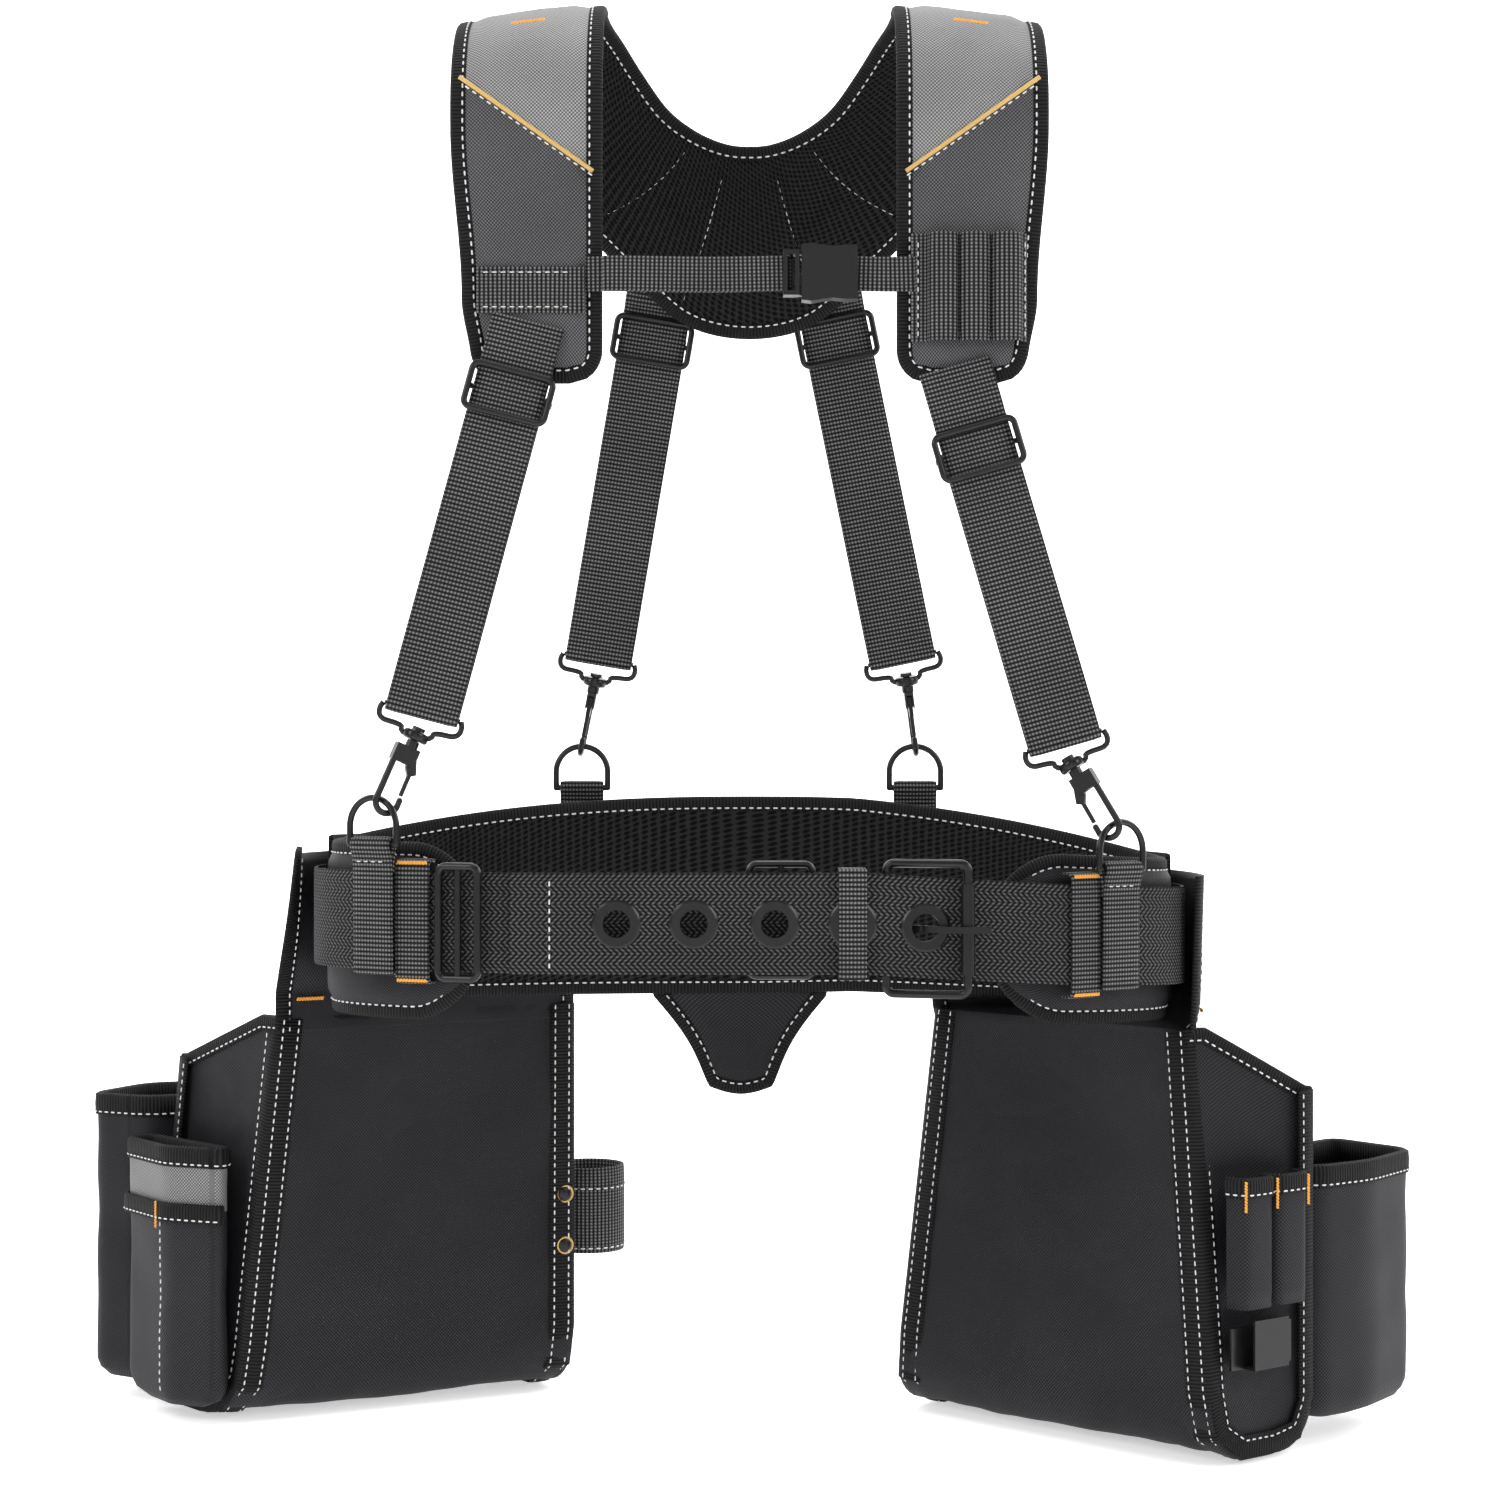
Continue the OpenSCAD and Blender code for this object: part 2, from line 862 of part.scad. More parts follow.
// slice that lowers the outer wall of a bag below its back panel
module cut_top(c) {
    translate([c[0], c[1], c[3]])
        rotate([0, 0, c[2]])
            rotate([-c[4], 0, 0])
                translate([-300, 0, 0])
                    cube([600, 200, 200]);
}

module left_bag_body() {
    bag_body(left_bag, left_bag_top, [-260, 38, 31.3, 232, 22]);
}

module right_bag_body() {
    bag_body(right_bag, right_bag_top, [231, -32, -46.6, 232, 32]);
}

module pocket(p, h, t) {
    color("black")
        at_origin()
        difference() {
            linear_extrude(height = h)
                polygon(p);
            translate([0, 0, t])
                linear_extrude(height = h)
                    polygon(inset(p, t));
        }
}

// stepped pair of flat pockets on the near end of the left bag
module left_side_pocket() {
    p = [[-292, 42], [-288.3, 50.3], [-342.6, 106.4], [-356, 96], [-325, 55]];
    translate([0, 0, 8])
        pocket(p, 146, 2);
}

module left_outer_bag() {
    translate([0, 0, 5])
        pocket(left_outer, 170, 3);
}

module right_outer_bag() {
    translate([0, 0, 10])
        pocket(right_outer, 140, 3);
}

// two narrow sleeves for drivers on the near end of the right bag
module tool_sleeves() {
    color("black")
        at_origin()
        translate([246.5, -50.4, 84])
            rotate([0, 0, 37.8])
                translate([2, -12.4, 0])
                    for (i = [0, 1]) {
                        translate([i * 26, 0, 0])
                            difference() {
                                cube([25, 12, 68]);
                                translate([1.8, 1.8, -1])
                                    cube([21.4, 8.4, 70]);
                            }
                    }
}

// bent steel plate that takes the hook of a tape measure
module tape_clip() {
    color("black")
        at_origin()
        translate([246.5, -50.4, 50])
            rotate([0, 0, 37.8])
                translate([4, -9.6, 0]) {
                    translate([0, 7.4, 0])
                        cube([46, 1.4, 22]);
                    translate([10, 0, 0])
                        cube([26, 1.4, 26]);
                    translate([10, 0, 0])
                        cube([26, 8.8, 1.4]);
                }
}

// stiff webbing loop for a hammer at the far end of the left bag
module hammer_loop() {
    foot = left_bag[1] + (left_bag[2] - left_bag[1]) / 4;
    color("black")
        at_origin()
            translate([foot[0], foot[1], 78])
                rotate([0, 0, 36])
                    linear_extrude(height = 50)
                        difference() {
                            union() {
                                translate([23.5, 0])
                                    circle(r = 22);
                                translate([0.4, -16])
                                    square([2.6, 32]);
                            }
                            translate([23.5, 0])
                                circle(r = 19.6);
                        }
}

left_shoulder_pad();
right_shoulder_pad();
back_yoke();
left_chest_band();
pen_sleeve();
chest_strap_left();
chest_strap_right();
chest_buckle_socket();
chest_buckle_prongs();
front_left_strap();
front_right_strap();
rear_left_strap();
rear_right_strap();
front_left_adjuster();
front_right_adjuster();
rear_left_adjuster();
rear_right_adjuster();
front_left_bracket();
front_right_bracket();
rear_left_bracket();
rear_right_bracket();
front_left_hook();
front_right_hook();
rear_left_hook();
rear_right_hook();
front_left_gate();
front_right_gate();
rear_left_gate();
rear_right_gate();
front_left_ring();
front_right_ring();
rear_left_ring();
rear_right_ring();
front_left_ring_loop();
front_right_ring_loop();
rear_ring_tabs();
waist_pad();
waist_sleeve();
tail_flap();
buckle_strap();
tongue_strap();
tongue_grommets();
buckle_frame();
buckle_roller();
buckle_prong();
belt_keeper();
belt_slider();
spare_slider();
left_hip_loop();
right_hip_loop();
left_bag_hanger();
right_bag_hanger();
left_bag_body();
right_bag_body();
left_side_pocket();
left_outer_bag();
right_outer_bag();
tool_sleeves();
tape_clip();
hammer_loop();
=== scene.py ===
"""Looks of the carpenter's tool belt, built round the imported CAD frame.

All shapes are made in millimetres in the part's own design frame, whose origin is under the middle
of the waist, and put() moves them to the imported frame, in metres.
"""

import math

import bpy
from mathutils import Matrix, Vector, noise


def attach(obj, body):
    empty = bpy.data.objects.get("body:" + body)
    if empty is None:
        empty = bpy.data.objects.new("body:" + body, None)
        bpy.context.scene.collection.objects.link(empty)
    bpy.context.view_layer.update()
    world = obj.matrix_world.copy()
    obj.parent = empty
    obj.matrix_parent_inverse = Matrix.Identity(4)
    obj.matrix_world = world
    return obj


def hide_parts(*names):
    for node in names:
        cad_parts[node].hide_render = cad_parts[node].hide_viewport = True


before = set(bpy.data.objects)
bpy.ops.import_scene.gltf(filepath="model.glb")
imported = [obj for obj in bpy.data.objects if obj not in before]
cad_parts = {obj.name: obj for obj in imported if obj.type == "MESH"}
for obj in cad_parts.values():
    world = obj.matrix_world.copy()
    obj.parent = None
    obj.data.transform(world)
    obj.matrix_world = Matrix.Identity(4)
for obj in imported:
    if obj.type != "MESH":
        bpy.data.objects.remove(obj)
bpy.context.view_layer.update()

MM = 0.001
CENTRE = Vector((-6.0, 47.2, 0.0))
BELT = "belt"
Z_UP = Vector((0, 0, 1))

# sizes shared with the CAD part, in millimetres
WAIST_A, WAIST_FRONT, WAIST_BACK, WAIST_POWER = 232.0, 97.6, 107.0, 2.4
BELT_Z, BELT_W, BELT_T = 286.0, 51.0, 2.2
STRAP_W, STRAP_T, STRAP_LAYER = 38.0, 1.6, 2.9
EYE_DROP = 13.0
BAG_H = 226.0


def put(p):
    return (Vector(p) - CENTRE) * MM


def smooth01(t):
    t = min(1.0, max(0.0, t))
    return t * t * (3 - 2 * t)


def mix(a, b, t):
    return a + (b - a) * t


def polar(r, degrees):
    """Two offsets of a point at distance r and an angle in degrees."""
    a = math.radians(degrees)
    return r * math.cos(a), r * math.sin(a)


def level_axes(yaw):
    """A level unit vector turned by yaw degrees from +X, and the one a quarter turn on."""
    c, s = polar(1.0, yaw)
    return Vector((c, s, 0)), Vector((-s, c, 0))


def wobble(p, size, seed=0.0):
    """Smooth noise from -1 to 1 at a point in millimetres."""
    return noise.noise(Vector((p[0] / size + seed, p[1] / size - seed, p[2] / size + 2 * seed)))


# ---------------------------------------------------------------- materials
class Graph:
    """A material's node tree, with short calls for the nodes used here."""

    def __init__(self, name, rough, metallic=0.0, specular=0.5, sheen=0.0, coat=0.0):
        self.mat = bpy.data.materials.new(name)
        self.mat.use_nodes = True
        self.tree = self.mat.node_tree
        self.bsdf = self.tree.nodes["Principled BSDF"]
        self.bsdf.inputs["Roughness"].default_value = rough
        self.bsdf.inputs["Metallic"].default_value = metallic
        self.bsdf.inputs["Specular IOR Level"].default_value = specular
        self.bsdf.inputs["Sheen Weight"].default_value = sheen
        self.bsdf.inputs["Coat Weight"].default_value = coat

    def node(self, kind, inputs=(), **attrs):
        n = self.tree.nodes.new(kind)
        for key, value in attrs.items():
            setattr(n, key, value)
        for socket, value in dict(inputs).items():
            if isinstance(value, bpy.types.NodeSocket):
                self.tree.links.new(value, n.inputs[socket])
            else:
                n.inputs[socket].default_value = value
        return n

    def math(self, op, a, b=0.0, c=0.0):
        return self.node("ShaderNodeMath", {0: a, 1: b, 2: c}, operation=op).outputs[0]

    def wave(self, value, pitch, phase=0.0):
        """0.5 + 0.5 sin of a length in metres."""
        turns = self.math("MULTIPLY_ADD", value, 2 * math.pi / (pitch * MM), phase)
        return self.math("MULTIPLY_ADD", self.math("SINE", turns), 0.5, 0.5)

    def uv(self):
        sep = self.node("ShaderNodeSeparateXYZ", {0: self.node("ShaderNodeUVMap").outputs[0]})
        return sep.outputs[0], sep.outputs[1]

    def place(self):
        return self.node("ShaderNodeTexCoord").outputs["Object"]

    def blotch(self, scale, detail=3.0):
        return self.node("ShaderNodeTexNoise", {"Vector": self.place(), "Scale": scale,
                                                "Detail": detail}).outputs[0]

    def mottle(self, height, power, scale, gain, base):
        """A weave's height sharpened by a power and varied by blotches, to mix two colours by."""
        return self.math("MULTIPLY", self.math("POWER", height, power),
                         self.math("MULTIPLY_ADD", self.blotch(scale), gain, base))

    def colour(self, fac, dark, light):
        m = self.node("ShaderNodeMix", {0: fac}, data_type="RGBA")
        m.inputs[6].default_value = (*dark, 1)
        m.inputs[7].default_value = (*light, 1)
        return m.outputs[2]

    def blend(self, fac, a, b):
        m = self.node("ShaderNodeMix", {0: fac, 6: a, 7: b}, data_type="RGBA")
        return m.outputs[2]

    def finish(self, colour, height=None, distance=0.4, strength=0.7):
        self.tree.links.new(colour, self.bsdf.inputs["Base Color"])
        if height is not None:
            bump = self.node("ShaderNodeBump", {"Height": height, "Strength": strength,
                                                "Distance": distance * MM})
            self.tree.links.new(bump.outputs[0], self.bsdf.inputs["Normal"])
        return self.mat


def grey(v, warm=0.0):
    return (v * (1 + warm), v, v * (1 - warm))


def basket(g, pitch):
    u, v = g.uv()
    a = g.wave(u, pitch)
    b = g.wave(v, pitch)
    over = g.math("MULTIPLY", g.math("MULTIPLY_ADD", a, 2, -1), g.math("MULTIPLY_ADD", b, 2, -1))
    return g.math("MULTIPLY_ADD", over, 0.5, 0.5)


def ballistic(name, dark, light, pitch=2.0):
    g = Graph(name, 0.55, specular=0.16)
    h = basket(g, pitch)
    return g.finish(g.colour(g.mottle(h, 2.0, 9, 1.1, 0.3), dark, light), h, 0.35, 0.55)


def webbing(name, dark, light, rib=2.3, cross=1.9):
    g = Graph(name, 0.7, specular=0.14)
    u, v = g.uv()
    rows = g.wave(v, rib)
    dots = g.math("MULTIPLY_ADD", g.wave(u, cross), 0.7, 0.3)
    h = g.math("MULTIPLY", rows, dots)
    return g.finish(g.colour(g.mottle(h, 1.5, 14, 0.8, 0.6), dark, light), h, 0.6, 0.8)


def herringbone(name, dark, light, column=5.0, pitch=3.0):
    g = Graph(name, 0.72, specular=0.12)
    u, v = g.uv()
    zigzag = g.math("PINGPONG", u, column * MM)
    h = g.wave(g.math("ADD", v, zigzag), pitch)
    thread = g.math("MULTIPLY", h, g.math("MULTIPLY_ADD", g.wave(u, 1.7), 0.6, 0.4))
    return g.finish(g.colour(g.mottle(thread, 1.6, 14, 0.8, 0.6), dark, light), thread, 0.7, 0.85)


def grosgrain(name, dark, light, pitch=1.9):
    g = Graph(name, 0.68, specular=0.14)
    u, v = g.uv()
    h = g.wave(v, pitch)
    return g.finish(g.colour(g.math("MULTIPLY", h, g.math("ADD", g.blotch(20), 0.2)), dark, light),
                    h, 0.5, 0.8)


def air_mesh(name, dark, light, cell=3.4):
    g = Graph(name, 0.8, specular=0.1)
    u, v = g.uv()
    row = g.math("MULTIPLY", u, 1 / (cell * MM))
    col = g.math("MULTIPLY_ADD", row, 0.5, g.math("MULTIPLY", v, 1.155 / (cell * MM)))
    vec = g.node("ShaderNodeCombineXYZ", {0: row, 1: col}).outputs[0]
    dot = g.node("ShaderNodeTexVoronoi", {"Vector": vec, "Scale": 1.0, "Randomness": 0.12},
                 voronoi_dimensions="2D").outputs["Distance"]
    rim = g.node("ShaderNodeMapRange", {0: dot, 1: 0.26, 2: 0.46}).outputs[0]
    return g.finish(g.colour(rim, dark, light), rim, 0.8, 0.8)


def plain(name, base, rough, **kw):
    """Thread, cord or moulded plastic: one colour broken up by a fine grain."""
    g = Graph(name, rough, **kw)
    grain = g.blotch(900, 2.0)
    low = tuple(c * 0.7 for c in base)
    return g.finish(g.colour(grain, low, base), grain, 0.15, 0.4)


def lacquer(name):
    """Gloss black coating on steel wire, with faint waviness."""
    g = Graph(name, 0.28, specular=0.3, coat=0.06)
    flow = g.blotch(160, 3.0)
    return g.finish(g.colour(flow, grey(0.002), grey(0.008)), flow, 0.1, 0.25)


def pad_front(name, black, silver):
    """Shoulder cloth: silver above a slanting seam, black below it."""
    g = Graph(name, 0.55, specular=0.2)
    h = basket(g, 1.9)
    level = g.mottle(h, 1.6, 9, 1.0, 0.4)
    sep = g.node("ShaderNodeSeparateXYZ", {0: g.place()})
    side = g.math("ABSOLUTE", g.math("ADD", sep.outputs[0], CENTRE.x * MM))
    seam = g.math("MULTIPLY_ADD", side, PIPING_SLOPE, PIPING_FOOT * MM)
    above = g.math("GREATER_THAN", sep.outputs[2], seam)
    front = g.math("LESS_THAN", sep.outputs[1], (28 - CENTRE.y) * MM)
    both = g.math("MULTIPLY", above, front)
    return g.finish(g.blend(both, g.colour(level, *black), g.colour(level, *silver)), h, 0.35, 0.55)


# the slanting piping: its height above the floor at the middle, and its rise per millimetre outward
PIPING_FOOT, PIPING_SLOPE = 617.5, 0.705

M = {
    "cloth": ballistic("cloth_black", (0.002, 0.002, 0.003), (0.044, 0.044, 0.05)),
    "pad_cloth": pad_front("shoulder_cloth", ((0.004, 0.004, 0.005), (0.17, 0.17, 0.178)),
                           (grey(0.04), grey(0.50))),
    "silver": ballistic("cloth_silver", grey(0.05), grey(0.42), 1.9),
    "web": webbing("strap_webbing", grey(0.003), grey(0.22)),
    "belt": herringbone("belt_webbing", grey(0.002), grey(0.12)),
    "tape": grosgrain("edge_binding", grey(0.001), grey(0.02)),
    "mesh": air_mesh("air_mesh", grey(0.001), grey(0.016)),
    "thread": plain("white_thread", grey(0.75), 0.7),
    "gold": plain("gold_piping", (0.62, 0.40, 0.12), 0.55),
    "orange": plain("orange_thread", (0.85, 0.38, 0.04), 0.65),
    "wire": lacquer("black_wire"),
    "plastic": plain("black_plastic", grey(0.008), 0.42, specular=0.25),
}


# ---------------------------------------------------------------- mesh making
def make(name, verts, faces, mat, uvs=None, mats=None, body=BELT, stand_for=(), slot=None, flat=False):
    """A mesh object from points in design millimetres; mat is a key of M, or a list with mats per face."""
    keys = [mat] if isinstance(mat, str) else mat
    mesh = bpy.data.meshes.new(name)
    mesh.from_pydata([put(v) for v in verts], [], faces)
    for key in keys:
        mesh.materials.append(M[key])
    if mats:
        mesh.polygons.foreach_set("material_index", mats)
    layer = mesh.uv_layers.new(name="UVMap")
    if uvs:
        index = [loop.vertex_index for loop in mesh.loops]
        layer.data.foreach_set("uv", [c * MM for i in index for c in uvs[i]])
    mesh.polygons.foreach_set("use_smooth", [not flat] * len(mesh.polygons))
    mesh.validate()
    obj = bpy.data.objects.new(name, mesh)
    bpy.context.scene.collection.objects.link(obj)
    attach(obj, body)
    if stand_for:
        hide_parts(*([stand_for] if isinstance(stand_for, str) else stand_for))
    return obj


def catmull(a, b, c, d, t):
    """Point at t from 0 to 1 between b and c on the smooth curve through a, b, c and d."""
    return 0.5 * (2 * b + (c - a) * t + (2 * a - 5 * b + 4 * c - d) * t * t
                  + (3 * b - a - 3 * c + d) * t ** 3)


def spline(points, step):
    """Even points along a Catmull-Rom curve through the given points."""
    pts = [Vector(p) for p in points]
    out = []
    for i in range(len(pts) - 1):
        a, b, c, d = pts[max(i - 1, 0)], pts[i], pts[i + 1], pts[min(i + 2, len(pts) - 1)]
        n = max(1, round((c - b).length / step))
        out += [catmull(a, b, c, d, k / n) for k in range(n)]
    return out + [pts[-1]]


def tangents(pts, closed=False):
    n = len(pts)
    out = []
    for i in range(n):
        a = pts[(i - 1) % n] if closed else pts[max(i - 1, 0)]
        b = pts[(i + 1) % n] if closed else pts[min(i + 1, n - 1)]
        out.append((b - a).normalized() if (b - a).length > 1e-6 else Vector((0, 0, 1)))
    return out


def sweep(name, pts, across, outward, profile, mat, closed=False, **kw):
    """Sweeps a closed profile of (across, outward) offsets along points with their two directions."""
    n, m = len(pts), len(profile)
    verts, uvs, run = [], [], 0.0
    around = [0.0]
    for j in range(1, m):
        around.append(around[-1] + math.dist(profile[j - 1], profile[j]))
    for i, p in enumerate(pts):
        run += (p - pts[i - 1]).length if i else 0.0
        for j, (a, o) in enumerate(profile):
            verts.append(p + across[i] * a + outward[i] * o)
            uvs.append((around[j], run))
    faces = []
    for i in range(n if closed else n - 1):
        k = (i + 1) % n
        for j in range(m):
            l = (j + 1) % m
            faces.append((i * m + j, i * m + l, k * m + l, k * m + j))
    if not closed:
        faces.append(tuple(range(m))[::-1])
        faces.append(tuple((n - 1) * m + j for j in range(m)))
    return make(name, verts, faces, mat, uvs, **kw)


def flat_profile(w, t):
    """Section of a woven band: flat faces with soft edges."""
    n = 8
    row = [-w / 2 + w * i / n for i in range(n + 1)]
    lift = [t / 2 * (0.62 if i in (0, n) else 1.0) for i in range(n + 1)]
    return [(a, h) for a, h in zip(row, lift)] + [(a, -h) for a, h in zip(row[::-1], lift[::-1])]


def band(name, pts, across, w, t, mat="web", **kw):
    """A webbing band through points; across is one direction or one per point."""
    tan = tangents(pts)
    if isinstance(across, Vector):
        across = [across] * len(pts)
    side = [(a - t_ * a.dot(t_)).normalized() for a, t_ in zip(across, tan)]
    out = [t_.cross(s).normalized() for t_, s in zip(tan, side)]
    return sweep(name, pts, side, out, flat_profile(w, t), mat, **kw)


def ring_profile(r, n=12):
    return [(r * math.cos(2 * math.pi * i / n), r * math.sin(2 * math.pi * i / n)) for i in range(n)]


def tube(name, pts, r, mat, closed=False, **kw):
    """A round rod or wire through points."""
    tan = tangents(pts, closed)
    side = []
    ref = Vector((0.31, 0.22, 0.93)).cross(tan[0]).normalized()
    for t_ in tan:
        ref = (ref - t_ * ref.dot(t_)).normalized()
        side.append(ref)
    out = [t_.cross(s) for t_, s in zip(tan, side)]
    return sweep(name, pts, side, out, ring_profile(r), mat, closed=closed, **kw)


class Surface:
    """A sheet given by a function of (u, v), both 0 to 1, in design millimetres."""

    def __init__(self, f, flip=False):
        self.f = f
        self.flip = -1.0 if flip else 1.0

    def normal(self, u, v):
        e = 1e-3
        du = self.f(min(1, u + e), v) - self.f(max(0, u - e), v)
        dv = self.f(u, min(1, v + e)) - self.f(u, max(0, v - e))
        return du.cross(dv).normalized() * self.flip

    def trace(self, line, h=0.0, step=3.0):
        """Points and normals along a broken line in (u, v)."""
        pts, nor = [], []
        for (u0, v0), (u1, v1) in zip(line, line[1:]):
            n = max(2, round((self.f(u1, v1) - self.f(u0, v0)).length / step))
            for k in range(n):
                u, v = mix(u0, u1, k / n), mix(v0, v1, k / n)
                nor.append(self.normal(u, v))
                pts.append(self.f(u, v) + nor[-1] * h)
        nor.append(self.normal(*line[-1]))
        pts.append(self.f(*line[-1]) + nor[-1] * h)
        return pts, nor


def lengths(surface, nu, nv):
    """Rough lengths across the sheet, for its weave, along u and along v."""
    us = [surface.f(i / nu, 0.5) for i in range(nu + 1)]
    vs = [surface.f(0.5, j / nv) for j in range(nv + 1)]
    total = lambda p: sum((b - a).length for a, b in zip(p, p[1:]))
    return total(us), total(vs)


def quilt(name, surface, nu, nv, thick, mats=("cloth", "mesh"), edge=2.4, ramp=14.0, seams=(),
          open_edges="", relief=None, **kw):
    """A padded sheet: two faces that swell away from thin sewn edges and from sewn seams.

    seams are lines in (u, v); open_edges names the sides that aren't sewn down: l r b t.
    """
    size_u, size_v = lengths(surface, 30, 30)
    verts, uvs = [], []
    for side in (1, -1):
        for j in range(nv + 1):
            for i in range(nu + 1):
                u, v = i / nu, j / nv
                near = [1e9]
                near += [u * size_u] if "l" not in open_edges else []
                near += [(1 - u) * size_u] if "r" not in open_edges else []
                near += [v * size_v] if "b" not in open_edges else []
                near += [(1 - v) * size_v] if "t" not in open_edges else []
                puff = smooth01((min(near) - 4) / ramp)
                for a, b in seams:
                    puff = min(puff, 0.25 + 0.75 * smooth01(seam_gap(u, v, a, b, size_u, size_v) / 9))
                h = edge / 2 + (thick - edge) / 2 * puff
                p = surface.f(u, v)
                if relief:
                    h += relief(p, side) * puff
                verts.append(p + surface.normal(u, v) * side * h)
                uvs.append((u * size_u, v * size_v))
    n = (nu + 1) * (nv + 1)
    faces, index = [], []
    for side in (0, 1):
        for j in range(nv):
            for i in range(nu):
                a = side * n + j * (nu + 1) + i
                quad = (a, a + 1, a + nu + 2, a + nu + 1)
                faces.append(quad if side == 0 else quad[::-1])
                index.append(side if len(mats) > 1 else 0)
    rim = [i for i in range(nu + 1)] + [j * (nu + 1) + nu for j in range(1, nv + 1)]
    rim += [nv * (nu + 1) + i for i in range(nu - 1, -1, -1)] + [j * (nu + 1) for j in range(nv - 1, 0, -1)]
    for a, b in zip(rim, rim[1:] + rim[:1]):
        faces.append((b, a, a + n, b + n))
        index.append(0)
    return make(name, verts, faces, list(mats), uvs, index, **kw)


def seam_gap(u, v, a, b, size_u, size_v):
    """Distance in millimetres from (u, v) to the line a-b."""
    p = Vector((u * size_u, v * size_v))
    q = Vector((a[0] * size_u, a[1] * size_v))
    r = Vector((b[0] * size_u, b[1] * size_v))
    d = r - q
    t = min(1.0, max(0.0, (p - q).dot(d) / max(d.dot(d), 1e-9)))
    return (p - q - d * t).length


class Threads:
    """Collects stitches of one colour into one mesh."""

    def __init__(self, name, mat, body=BELT):
        self.name, self.mat, self.body = name, mat, body
        self.verts, self.faces = [], []

    def dash(self, a, b, n, r=0.42):
        t = (b - a).normalized()
        s = t.cross(n).normalized()
        k = len(self.verts)
        self.verts.append(a)
        for end in (0.18, 0.82):
            self.verts += [mix(a, b, end) + s * x * r + n * y * r for x, y in ((1, 0), (0, 1), (-1, 0), (0, -1))]
        self.verts.append(b)
        for i in range(4):
            j = (i + 1) % 4
            self.faces += [(k, k + 1 + j, k + 1 + i), (k + 9, k + 5 + i, k + 5 + j),
                           (k + 1 + i, k + 1 + j, k + 5 + j, k + 5 + i)]

    def row(self, pts, nor, pitch=4.6, fill=0.62, lift=0.3, r=0.42):
        """Dashes of even pitch along a polyline."""
        run = [0.0]
        for a, b in zip(pts, pts[1:]):
            run.append(run[-1] + (b - a).length)

        def at(x):
            i = 0
            while i < len(run) - 2 and run[i + 1] < x:
                i += 1
            f = (x - run[i]) / max(1e-6, run[i + 1] - run[i])
            return mix(pts[i], pts[i + 1], min(1, f)) + nor[i] * lift, nor[i]

        for k in range(int(run[-1] / pitch)):
            (a, n), (b, _) = at(k * pitch + 0.4), at(k * pitch + 0.4 + pitch * fill)
            self.dash(a, b, n, r)

    def bar(self, mid, along, n, length, width=2.4):
        """A bartack: close zigzag strokes over a short line."""
        along, n = Vector(along).normalized(), Vector(n).normalized()
        s = along.cross(n).normalized()
        count = round(length / 0.8)
        for k in range(count):
            p = Vector(mid) + along * (length * (k / (count - 1) - 0.5)) + n * 0.3
            lean = along * 0.35 * (1 if k % 2 else -1)
            self.dash(p - s * width / 2 - lean, p + s * width / 2 + lean, n, 0.5)

    def done(self, slot):
        make(self.name, self.verts, self.faces, self.mat, body=self.body, slot=slot, flat=True)


def front_row(pts):
    """Fine white stitches that face the front."""
    white.row(pts, [FRONT] * len(pts), r=0.3)


FRONT = Vector((0, -1, 0))
white = Threads("stitching_white", "thread")
orange = Threads("bartacks_orange", "orange")


def edge_tape(name, surface, line, side, w=6.5, h=1.5, stitch=True, back=True, mat="tape", **kw):
    """Ribbed binding folded over a sheet's edge; side is +1 or -1 for the way inward."""
    pts, nor = surface.trace(line, step=2.5)
    tan = tangents(pts)
    inward = [n.cross(t).normalized() * side for n, t in zip(nor, tan)]
    profile = [(w, h), (w * 0.5, h + 0.35), (0.4, h + 0.15), (-1.0, h * 0.55), (-1.3, 0), (-1.0, -h * 0.55),
               (0.4, -h - 0.15), (w * 0.5, -h - 0.35), (w, -h), (w, -h + 0.5), (w, h - 0.5)]
    obj = sweep(name, pts, inward, nor, profile, mat, **kw)
    if stitch:
        mid = [p + i * (w - 1.6) + n * (h + 0.1) for p, i, n in zip(pts, inward, nor)]
        white.row(mid, nor)
    if stitch and back:
        mid = [p + i * (w - 1.6) - n * (h + 0.1) for p, i, n in zip(pts, inward, nor)]
        white.row(mid, [-n for n in nor])
    return obj


# ---------------------------------------------------------------- shapes shared with the CAD part
def spow(v):
    return math.copysign(abs(v) ** (2 / WAIST_POWER), v)


def waist(a, off=0.0):
    """Plan point of the belt loop at angle a in degrees, off millimetres outside it."""
    c, s = math.cos(math.radians(a)), math.sin(math.radians(a))
    return (WAIST_A + off) * spow(c), ((WAIST_FRONT if s < 0 else WAIST_BACK) + off) * spow(s)


def drop(x):
    """The webbing hangs lower round the right hip."""
    return max(0.0, x - 60) * 0.06


def shoulder(x, s):
    """Middle of the harness padding: s runs up the back, over the shoulder and down the front."""
    if s < 150:
        y, z = 86.0, 560 + s
    elif s < 359:
        phi = (s - 150) / 66.5
        y, z = 19.5 + 66.5 * math.cos(phi), 710 + 59.9 * math.sin(phi)
    else:
        y, z = -47.0, 710 - (s - 359)
    return Vector((x, y, z - 0.1228 * (abs(x) - 116) * smooth01((z - 690) / 80)))


def along_list(pts, t):
    """Smooth point at t from 0 to 1 along a list of 2D points."""
    n = len(pts) - 1
    x = min(max(t, 0.0), 1.0) * n
    i = min(int(x), n - 1)
    t = x - i
    a, b, c, d = pts[max(i - 1, 0)], pts[i], pts[i + 1], pts[min(i + 2, n)]
    return [catmull(a[k], b[k], c[k], d[k], t) for k in (0, 1)]


def wrinkles(amount, size, seed):
    return lambda p, side: amount * (wobble(p, size, seed) + 0.4 * wobble(p, size / 3, seed + 3))


